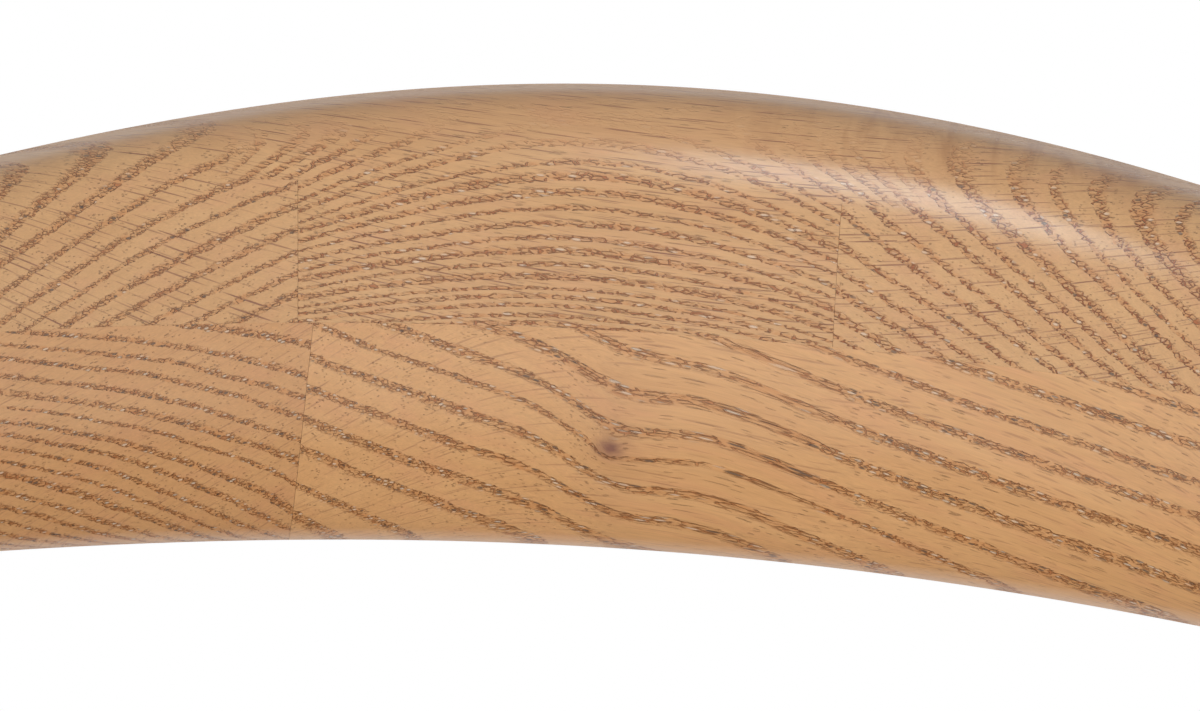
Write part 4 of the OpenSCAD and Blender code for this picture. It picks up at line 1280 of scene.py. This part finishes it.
# %% Node tree that sews
def sewing_tree():
    tree, given, end = node_group("line of stitches", "GeometryNodeTree", [
        ("Geometry", GEOMETRY, None), ("Half Width", FLOAT, 0.2), ("Half Depth", FLOAT, 0.2),
        ("Height", FLOAT, 0.6), ("Count", WHOLE, 300), ("Length", FLOAT, 0.003),
        ("Thread", FLOAT, 0.0004), ("Finish", MATERIAL, None)], [("Geometry", GEOMETRY)])
    ring = made_by(tree, "GeometryNodeCurvePrimitiveCircle", Resolution=720, Radius=1.0)
    x, y, _ = split(made_by(tree, "GeometryNodeInputPosition"))

    def bowed(value):
        return maths("SIGN", value) * maths("ABSOLUTE", value) ** (2 / SEAT_SQUARE)

    outline = made_by(tree, "GeometryNodeSetPosition", Geometry=ring, Position=join(
        given["Half Width"] * bowed(x), given["Half Depth"] * bowed(y), given["Height"]))
    points = made_by(tree, "GeometryNodeCurveToPoints", Curve=outline, Count=given["Count"],
                     settings={"mode": "COUNT"})
    nearest = made_by(tree, "GeometryNodeProximity", given["Geometry"], out="Position",
                      settings={"target_element": "FACES"})
    settled = made_by(tree, "GeometryNodeSetPosition", Geometry=points, Position=nearest)

    grain = made_by(tree, "GeometryNodeMeshUVSphere", Segments=8, Rings=6, Radius=0.5)
    thread = made_by(tree, "GeometryNodeTransform", Geometry=grain,
                     Scale=join(given["Thread"], given["Thread"], given["Length"]))
    along = Wire(tree, points.socket.node.outputs["Tangent"])
    turn = made_by(tree, "FunctionNodeAlignRotationToVector", Vector=along,
                   settings={"axis": "Z"})
    laid = made_by(tree, "GeometryNodeInstanceOnPoints", Points=settled, Instance=thread,
                   Rotation=turn)
    return dressed(laid, given, end)


def thread_finish():
    material, tree, shader = finish("waxed_thread", 0.5, Specular_IOR_Level=0.4)
    place = in_millimetres(tree)
    ply = noise(stretched(place, 0.25, 0.25, 0.25), 1.0, 2.0)
    surface(tree, shader, blend_colours(ply, colour(84, 64, 50), colour(128, 102, 80)), ply,
            0.6, 0.0001)
    return material


STITCH, SEAM_RISE = 0.0036, 0.0062
around = float(np.linalg.norm(np.diff(np.vstack([path, path[:1]]), axis=0), axis=1).sum())
stitch_count = int(around / STITCH)
stitches = run_tree(
    sewing_tree(), "seat_stitches", source=pad, Half_Width=float(SEAT_HALF[0]),
    Half_Depth=float(SEAT_HALF[1]), Height=float(WAIST_Z + SEAM_RISE), Count=stitch_count,
    Length=0.0029, Thread=0.00075, Finish=thread_finish())
piece("seat_stitches", stitches, sharp=70)
print(stitch_count, "stitches,", len(stitches.polygons), "faces")

# %% [markdown]
# ## Dust cloth
# A thin non-woven cloth closes the seat from below. It is stapled to the board, sags a little
# in the middle and has holes for the four seat bolts. Its mesh is a fan of small triangles
# inside the outline, with the rims of the holes as fixed edges.

# %% Dust cloth
RAIL_HALF_T, BOLT_INSET, CLOTH_GAP = 0.011, 0.034, 0.0015
inner = [leg_at(a, frame_mid) - RAIL_HALF_T for a in (0, 1)]
BOLT_AT = [v - BOLT_INSET for v in inner]
cloth_half = [v - CLOTH_GAP for v in inner]


def loop_edges(first, count):
    return [(first + k, first + (k + 1) % count) for k in range(count)]


def cloth_mesh(hole_r=0.0063, step=0.006, jitter=0.0012, round_hole=28):
    w = np.linspace(0, 2 * np.pi, 160, endpoint=False)
    points = [(cloth_half[0] * signed_power(math.cos(t), 2 / SEAT_SQUARE),
               cloth_half[1] * signed_power(math.sin(t), 2 / SEAT_SQUARE)) for t in w]
    edges = loop_edges(0, len(points))
    holes = [(sx * BOLT_AT[0], sy * BOLT_AT[1]) for sx in (-1, 1) for sy in (-1, 1)]
    for cx, cy in holes:
        edges += loop_edges(len(points), round_hole)
        points += [(cx + hole_r * math.cos(2 * math.pi * k / round_hole),
                    cy + hole_r * math.sin(2 * math.pi * k / round_hole))
                   for k in range(round_hole)]
    luck = random.Random(5)
    for i in range(-30, 31):
        for j in range(-30, 31):
            x = i * step + luck.uniform(-jitter, jitter)
            y = j * step + luck.uniform(-jitter, jitter)
            near = min(math.hypot(x - cx, y - cy) for cx, cy in holes)
            if in_outline(x, y, *(half - 0.004 for half in cloth_half)) < 1 and near > 0.0095:
                points.append((x, y))
    flat, _, faces, *_ = delaunay_2d_cdt([Vector(p) for p in points], edges, [], 0, 1e-7)
    keep = []
    for f in faces:
        middle = sum((flat[i] for i in f), Vector((0, 0))) / 3
        if min((middle - Vector(h)).length for h in holes) > hole_r:
            keep.append(f)
    solid = []
    for p in flat:
        free = max(0.0, 1 - in_outline(p.x, p.y, *cloth_half) ** 0.8)
        held = 1 - math.exp(-(min((p - Vector(h)).length for h in holes) / 0.05) ** 2)
        sag = 0.0022 * free * held + 0.0004 * free * math.sin(p.x * 75 + 1.2 * math.sin(p.y * 40))
        solid.append((p.x, p.y, BOARD_Z - 0.0002 - sag))
    mesh = bpy.data.meshes.new("dust_cloth_sheet")
    mesh.from_pydata(solid, [], keep)
    work = bmesh.new()
    work.from_mesh(mesh)
    bmesh.ops.recalc_face_normals(work, faces=work.faces)
    if sum(f.normal.z for f in work.faces) < 0:
        bmesh.ops.reverse_faces(work, faces=work.faces)
    work.to_mesh(mesh)
    work.free()
    return mesh


def felt_finish():
    material, tree, shader = finish("black_fleece", 0.95, Sheen_Weight=0.15)
    place = in_millimetres(tree)
    fibres = noise(stretched(place, 0.5, 3.0, 1.0), 1.0, 3.0, 0.7)
    other = noise(stretched(place, 2.6, 0.5, 1.0), 1.0, 3.0, 0.7)
    dots = ramp(cells(stretched(place, 1.8, 1.8, 40.0), 0.15), 0.22, 0.34)
    mask = clamp(fibres * 0.6 + other * 0.6 - 0.15)
    surface(tree, shader, blend_colours(mask, colour(18, 18, 19), colour(58, 58, 60)),
            mask * 0.5 + dots * 0.5, 0.7, 0.0002)
    return material


dust = piece("dust_cloth_sheet", cloth_mesh(), "dust_cover", felt_finish())
thicken(dust, 0.0006)
shape_share = math.gamma(1 + 1 / SEAT_SQUARE) ** 2 / math.gamma(1 + 2 / SEAT_SQUARE)
2 * cloth_half[0]
2 * cloth_half[1]
4 * cloth_half[0] * cloth_half[1] * shape_share
print("dust cloth", [round(2 * v, 3) for v in cloth_half])

# %% [markdown]
# ## Screws and bolts
# The plate on the footrest is held by four countersunk screws, and the seat by four bolts from
# below. One screw of each kind is made in mesh code, with the recess that a driver fits in. A
# small node tree then repeats it in columns and rows, at the places that the CAD model gives.


# %% Node tree that repeats a fastener
def repeat_tree():
    tree, given, end = node_group("columns and rows", "GeometryNodeTree", [
        ("Geometry", GEOMETRY, None), ("Columns", WHOLE, 2), ("Rows", WHOLE, 2),
        ("Column Step", FLOAT, 0.1), ("Row Step", FLOAT, 0.1), ("Middle Y", FLOAT, 0.0),
        ("Height", FLOAT, 0.0), ("Turn", FLOAT, 0.7), ("Finish", MATERIAL, None)],
        [("Geometry", GEOMETRY)])
    index = made_by(tree, "GeometryNodeInputIndex")
    column = maths("FLOORED_MODULO", index, given["Columns"])
    row = maths("FLOOR", (index + 0.01) / given["Columns"])
    x = (column - (given["Columns"] - 1.0) * 0.5) * given["Column Step"]
    y = (row - (given["Rows"] - 1.0) * 0.5) * given["Row Step"] + given["Middle Y"]
    points = made_by(tree, "GeometryNodePoints", Count=given["Columns"] * given["Rows"],
                     Position=join(x, y, given["Height"]))
    laid = made_by(tree, "GeometryNodeInstanceOnPoints", Points=points,
                   Instance=given["Geometry"],
                   Rotation=join(0.0, 0.0, index * given["Turn"] + 0.35))
    return dressed(laid, given, end)


REPEAT = repeat_tree()


def fastener(name, profile, recess, depth, top, sides=48):
    """A turned fastener along z whose head has a recess; recess(angle) is its half width.

    The profile is a list of radius and height, from the tip to the head's face at top.
    """
    t = np.linspace(0, 2 * np.pi, sides, endpoint=False)
    way = np.stack([np.cos(t), np.sin(t)], 1)
    rings = [np.column_stack([way * r, np.full(sides, z)]) for r, z in profile]
    edge = np.array([recess(a) for a in t])[:, None]
    sink = depth * (1 if top > profile[0][1] else -1)
    for size, share_down in ((1, 0), (0.93, 0.25), (0.55, 1)):
        rings.append(np.column_stack([way * edge * size, np.full(sides, top - sink * share_down)]))
    return skin(name, rings)


def cross(a, long=0.0021, half=0.00045):
    """Half width of a cross-shaped recess in direction a."""
    q = (a + math.pi / 4) % (math.pi / 2) - math.pi / 4
    if abs(math.tan(q)) <= half / long:
        return long
    return min(long, max(half / max(abs(math.sin(q)), 1e-6), half * 1.5))


def hexagon(a, flat=0.0026):
    """Half width of a six-sided recess in direction a."""
    q = (a + math.pi / 6) % (math.pi / 3) - math.pi / 6
    return flat / math.cos(q)


# %% [markdown]
# ## Metal, plastic and plain wood
# The remaining nodes keep their CAD shape and get a finish. The footrest plate is brushed along
# its length and scuffed by shoes. Screws and nuts are zinc plated, with a faint crystal pattern.
# Glides are hard nylon, scratched where they slide.


# %% Metal and plastic finishes
def scuff_group():
    tree, given, end = node_group("scuffs", "ShaderNodeTree", [
        ("Place", VECTOR, None), ("Size", FLOAT, 8.0), ("Amount", FLOAT, 0.5)],
        [("Mask", FLOAT), ("Height", FLOAT)])
    place = vectors("SCALE", given["Place"], scale=1.0 / given["Size"])
    lines = None
    for k, turn in enumerate(((1, 0.12, 0.1), (0.3, 1, -0.2), (0.8, -0.7, 0.4))):
        way = Vector(turn).normalized()
        side = way.cross(Vector((0, 0, 1))).normalized()
        along = vectors("DOT_PRODUCT", place, tuple(way), out=1)
        off = vectors("DOT_PRODUCT", place, tuple(side), out=1)
        one = noise(join(along * 0.5, off * 14.0, k * 7.3), 1.0, 2.0)
        one = ramp(maths("ABSOLUTE", one - 0.5), 0.0, 0.012, 1.0, 0.0) * ramp(
            noise(vectors("ADD", place, (k * 3.1, 0, 0)), 0.7, 1.0), 0.5, 0.62)
        lines = one if lines is None else maths("MAXIMUM", lines, one)
    rubbed = ramp(noise(place, 0.35, 3.0), 0.42, 0.66)
    plug(tree, clamp((lines * 0.6 + rubbed * 0.5) * given["Amount"]), end.inputs["Mask"])
    plug(tree, 1.0 - lines * given["Amount"], end.inputs["Height"])
    return tree


SCUFFS = scuff_group()


def steel_finish(name, brushed, tone=(196, 192, 184), roughness=0.28, scuffed=0.6):
    material, tree, shader = finish(name, roughness, Metallic=1.0)
    place = in_millimetres(tree)
    streaks = noise(stretched(place, *brushed), 1.0, 3.0, 0.6)
    spangle = split(cells(stretched(place, 1.3, 1.3, 1.3), out="Color"))[0]
    worn = place_group(tree, SCUFFS, Place=place, Amount=scuffed)
    light = colour(*tone)
    dark = tuple(v * 0.74 for v in light[:3]) + (1.0,)
    surface(tree, shader, blend_colours(clamp(streaks * 0.8 + spangle * 0.12), dark, light),
            streaks * 0.5 + worn["Height"] * 0.5, 0.35, 0.00005,
            clamp(roughness + (streaks - 0.5) * 0.18 + worn["Mask"] * 0.22))
    return material


def nylon_finish():
    material, tree, shader = finish("black_nylon", 0.5, Specular_IOR_Level=0.45)
    place = in_millimetres(tree)
    worn = place_group(tree, SCUFFS, Place=place, Size=4.0, Amount=0.9)
    surface(tree, shader, blend_colours(worn["Mask"], colour(26, 26, 27), colour(74, 72, 70)),
            noise(stretched(place, 0.4, 0.4, 0.4), 1.0, 2.0), 0.3, 0.00005,
            0.42 + worn["Mask"] * 0.3)
    return material


def plywood_finish():
    material, tree, shader = finish("birch_plywood", 0.65)
    x, y, z = split(in_millimetres(tree))
    layer = maths("FLOOR", z / 1.5)
    odd = maths("FLOORED_MODULO", layer, 2.0)
    along = join(x * (0.03 + 0.5 * odd), y * (0.53 - 0.5 * odd), layer * 5.7)
    figure = noise(along, 1.0, 3.0, 0.6, 0.3)
    edge = ramp(maths("ABSOLUTE", maths("FRACT", z / 1.5) - 0.5), 0.42, 0.5)
    wood = blend_colours(figure, colour(216, 184, 140), colour(188, 150, 106))
    surface(tree, shader, blend_colours(clamp(edge * 0.6 + odd * 0.25), wood,
                                        colour(140, 100, 66)), figure, 0.3, 0.0001)
    return material


def dress_node(name, material):
    """Gives a CAD node a better finish; its shape stays as it is."""
    for place in nodes[name].material_slots:
        place.material = material


zinc = steel_finish("zinc_plate", (2.0, 2.0, 2.0), (204, 202, 190), 0.34, 0.3)
plate_steel = steel_finish("brushed_plate", (30.0, 0.16, 0.5), (206, 203, 196), 0.26, 0.8)
nylon, plywood = nylon_finish(), plywood_finish()
beech_look = {"Wood": colour(222, 184, 138), "Band_Wood": colour(204, 160, 114), "Band": 0.22,
              "Pores": 0.12, "Rays": 0.7}

# %% Finishes on the CAD nodes
for k, (sx, sy) in enumerate(((-1, -1), (1, -1), (-1, 1), (1, 1))):
    name = ("front" if sy < 0 else "back") + ("_left" if sx < 0 else "_right")
    dress_node("corner_block_" + name, oak_finish(
        "beech_" + name, (sx, -sy, 0.02), (0.3, 0.3, 1), (sx * 0.14, sy * 0.14, 0.58),
        Ring_Spacing=3.0, Ring_Bend=0.01, Seed=60.0 + k, **beech_look))
    dress_node("glide_" + name, nylon)
dress_node("seat_rail_dowels", oak_finish("beech_dowels", (1, 0.1, 0), (0, 0.4, 1), (0, 0, 0.57),
                                          Ring_Spacing=2.5, Seed=71.0, **beech_look))
dress_node("seat_board", plywood)
for name in ("corner_block_screws", "seat_tee_nuts", "glide_nails"):
    dress_node(name, zinc)
dress_node("footrest_guard", plate_steel)
dress_node("footrest_bar", oak_finish(
    "oak_footrest", (1, 0.02, 0.01), (0.0, 0.55, 0.83), (0.03, -0.25, 0.19), Ring_Spacing=3.2,
    Ring_Bend=0.012, Seed=51.0))

SCREW_SPAN = 0.306
near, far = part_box("footrest_screws")
top = far[2]
profile = [(0.0004, top - 0.0160), (0.00175, top - 0.0135), (0.00175, top - 0.0012),
           (0.0034, top - 0.0002), (0.00345, top)]
screw = fastener("footrest_screw", profile, cross, 0.0011, top)
screws = run_tree(REPEAT, "footrest_screws_driven", source=screw, Columns=4, Rows=1,
                  Column_Step=SCREW_SPAN / 3, Row_Step=0.1,
                  Middle_Y=float((near[1] + far[1]) / 2),
                  Height=0.0, Turn=1.9, Finish=zinc)
piece("footrest_screws_driven", screws, "footrest_screws", sharp=30)
near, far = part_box("seat_screws")
low = near[2]
profile = [(0.003, far[2]), (0.003, low + 0.0036), (0.0058, low + 0.0035), (0.006, low + 0.0033),
           (0.006, low + 0.0003), (0.0057, low)]
bolt = fastener("seat_bolt", profile, hexagon, 0.0024, low)
bolts = run_tree(REPEAT, "seat_bolts", source=bolt, Columns=2, Rows=2,
                 Column_Step=2 * BOLT_AT[0], Row_Step=2 * BOLT_AT[1], Middle_Y=0.0, Height=0.0,
                 Turn=0.9, Finish=zinc)
piece("seat_bolts", bolts, "seat_screws", sharp=30)

# %% [markdown]
# ## Light and surroundings
# The picture is lit like a studio shot. The sky is white and brighter towards the horizon. A
# small, cool softbox in front and to the left draws the pale band along the rounded top of the
# rail. Two wide ones, in front and behind, fill the shadows and are hidden from reflections.
# The ground is white. Where the camera, or a reflection, looks past the stool, it sees plain
# white.


# %% Light, floor and background
def softbox(name, at, target, size, power):
    lamp = bpy.data.lights.new(name, "AREA")
    lamp.shape, lamp.size, lamp.size_y, lamp.energy = "RECTANGLE", size[0], size[1], power
    obj = new_object(name, lamp)
    at, target = Vector(at), Vector(target)
    turned = (target - at).to_track_quat("-Z", "Y").to_matrix().to_4x4()
    obj.matrix_world = Matrix.Translation(at) @ turned
    return obj


RAIL_MIDDLE = Vector((0.05, 0.2, 0.86))


def from_rail(azimuth, elevation, distance):
    """A place seen from the rail: azimuth to the right of the front, elevation upwards."""
    a, e = math.radians(azimuth), math.radians(elevation)
    return RAIL_MIDDLE + distance * Vector(
        (math.sin(a) * math.cos(e), -math.cos(a) * math.cos(e), math.sin(e)))


band_light = softbox("softbox_left", from_rail(-21, 22, 2.2), RAIL_MIDDLE, (0.82, 0.5), 9.2)
band_light.data.color = (0.84, 0.93, 1.0)
for fill in (softbox("softbox_front", (-0.4, -2.6, 0.42), (0, 0.1, 0.85), (2.4, 0.75), 24),
             softbox("softbox_back", (0.2, 2.8, 1.4), (0, 0.0, 0.6), (2.8, 1.6), 45)):
    fill.visible_glossy = False

world = bpy.data.worlds.new("studio")
bpy.context.scene.world = world
world.use_nodes = True
sky = world.node_tree
background = sky.nodes["Background"]
WHITE = (1, 1, 1, 1)
background.inputs["Color"].default_value = WHITE


def looked_at(tree):
    """1 for light rays that the camera, or a reflection, looks along."""
    first = made_by(tree, "ShaderNodeLightPath")
    kinds = ("Is Camera Ray", "Is Glossy Ray", "Is Transmission Ray")
    return clamp(sum((Wire(tree, first.socket.node.outputs[kind]) for kind in kinds), 0.0))


_, _, height = split(made_by(sky, "ShaderNodeTexCoord", out="Generated"))
open_sky = ramp(height, -0.1, 0.6, 1.05, 0.21)
plug(sky, ramp(looked_at(sky), 0.0, 1.0, open_sky, 1.0, smooth=False),
     background.inputs["Strength"])

ground = bpy.data.meshes.new("ground")
edge = [(1.5 * math.cos(a), 1.5 * math.sin(a), 0) for a in np.arange(64) * math.pi / 32]
ground.from_pydata(edge, [], [range(64)])
floor = new_object("ground", ground)
material, tree, shader = finish("pale_ground", roughness=0.7)
shader.inputs["Base Color"].default_value = (0.86, 0.86, 0.86, 1)
spot_x, spot_y, _ = split(object_point(tree))
off_middle = vectors("LENGTH", join(spot_x, spot_y, 0.0), out=1)
clear = ramp(off_middle, 0.25, 1.1, 0.45, 1.0) * looked_at(tree)
glow = made_by(tree, "ShaderNodeEmission", Color=WHITE)
mixed = made_by(tree, "ShaderNodeMixShader", clear, Wire(tree, shader.outputs[0]), glow)
plug(tree, mixed, tree.nodes["Material Output"].inputs["Surface"])
ground.materials.append(material)
print("three softboxes and a white ground")
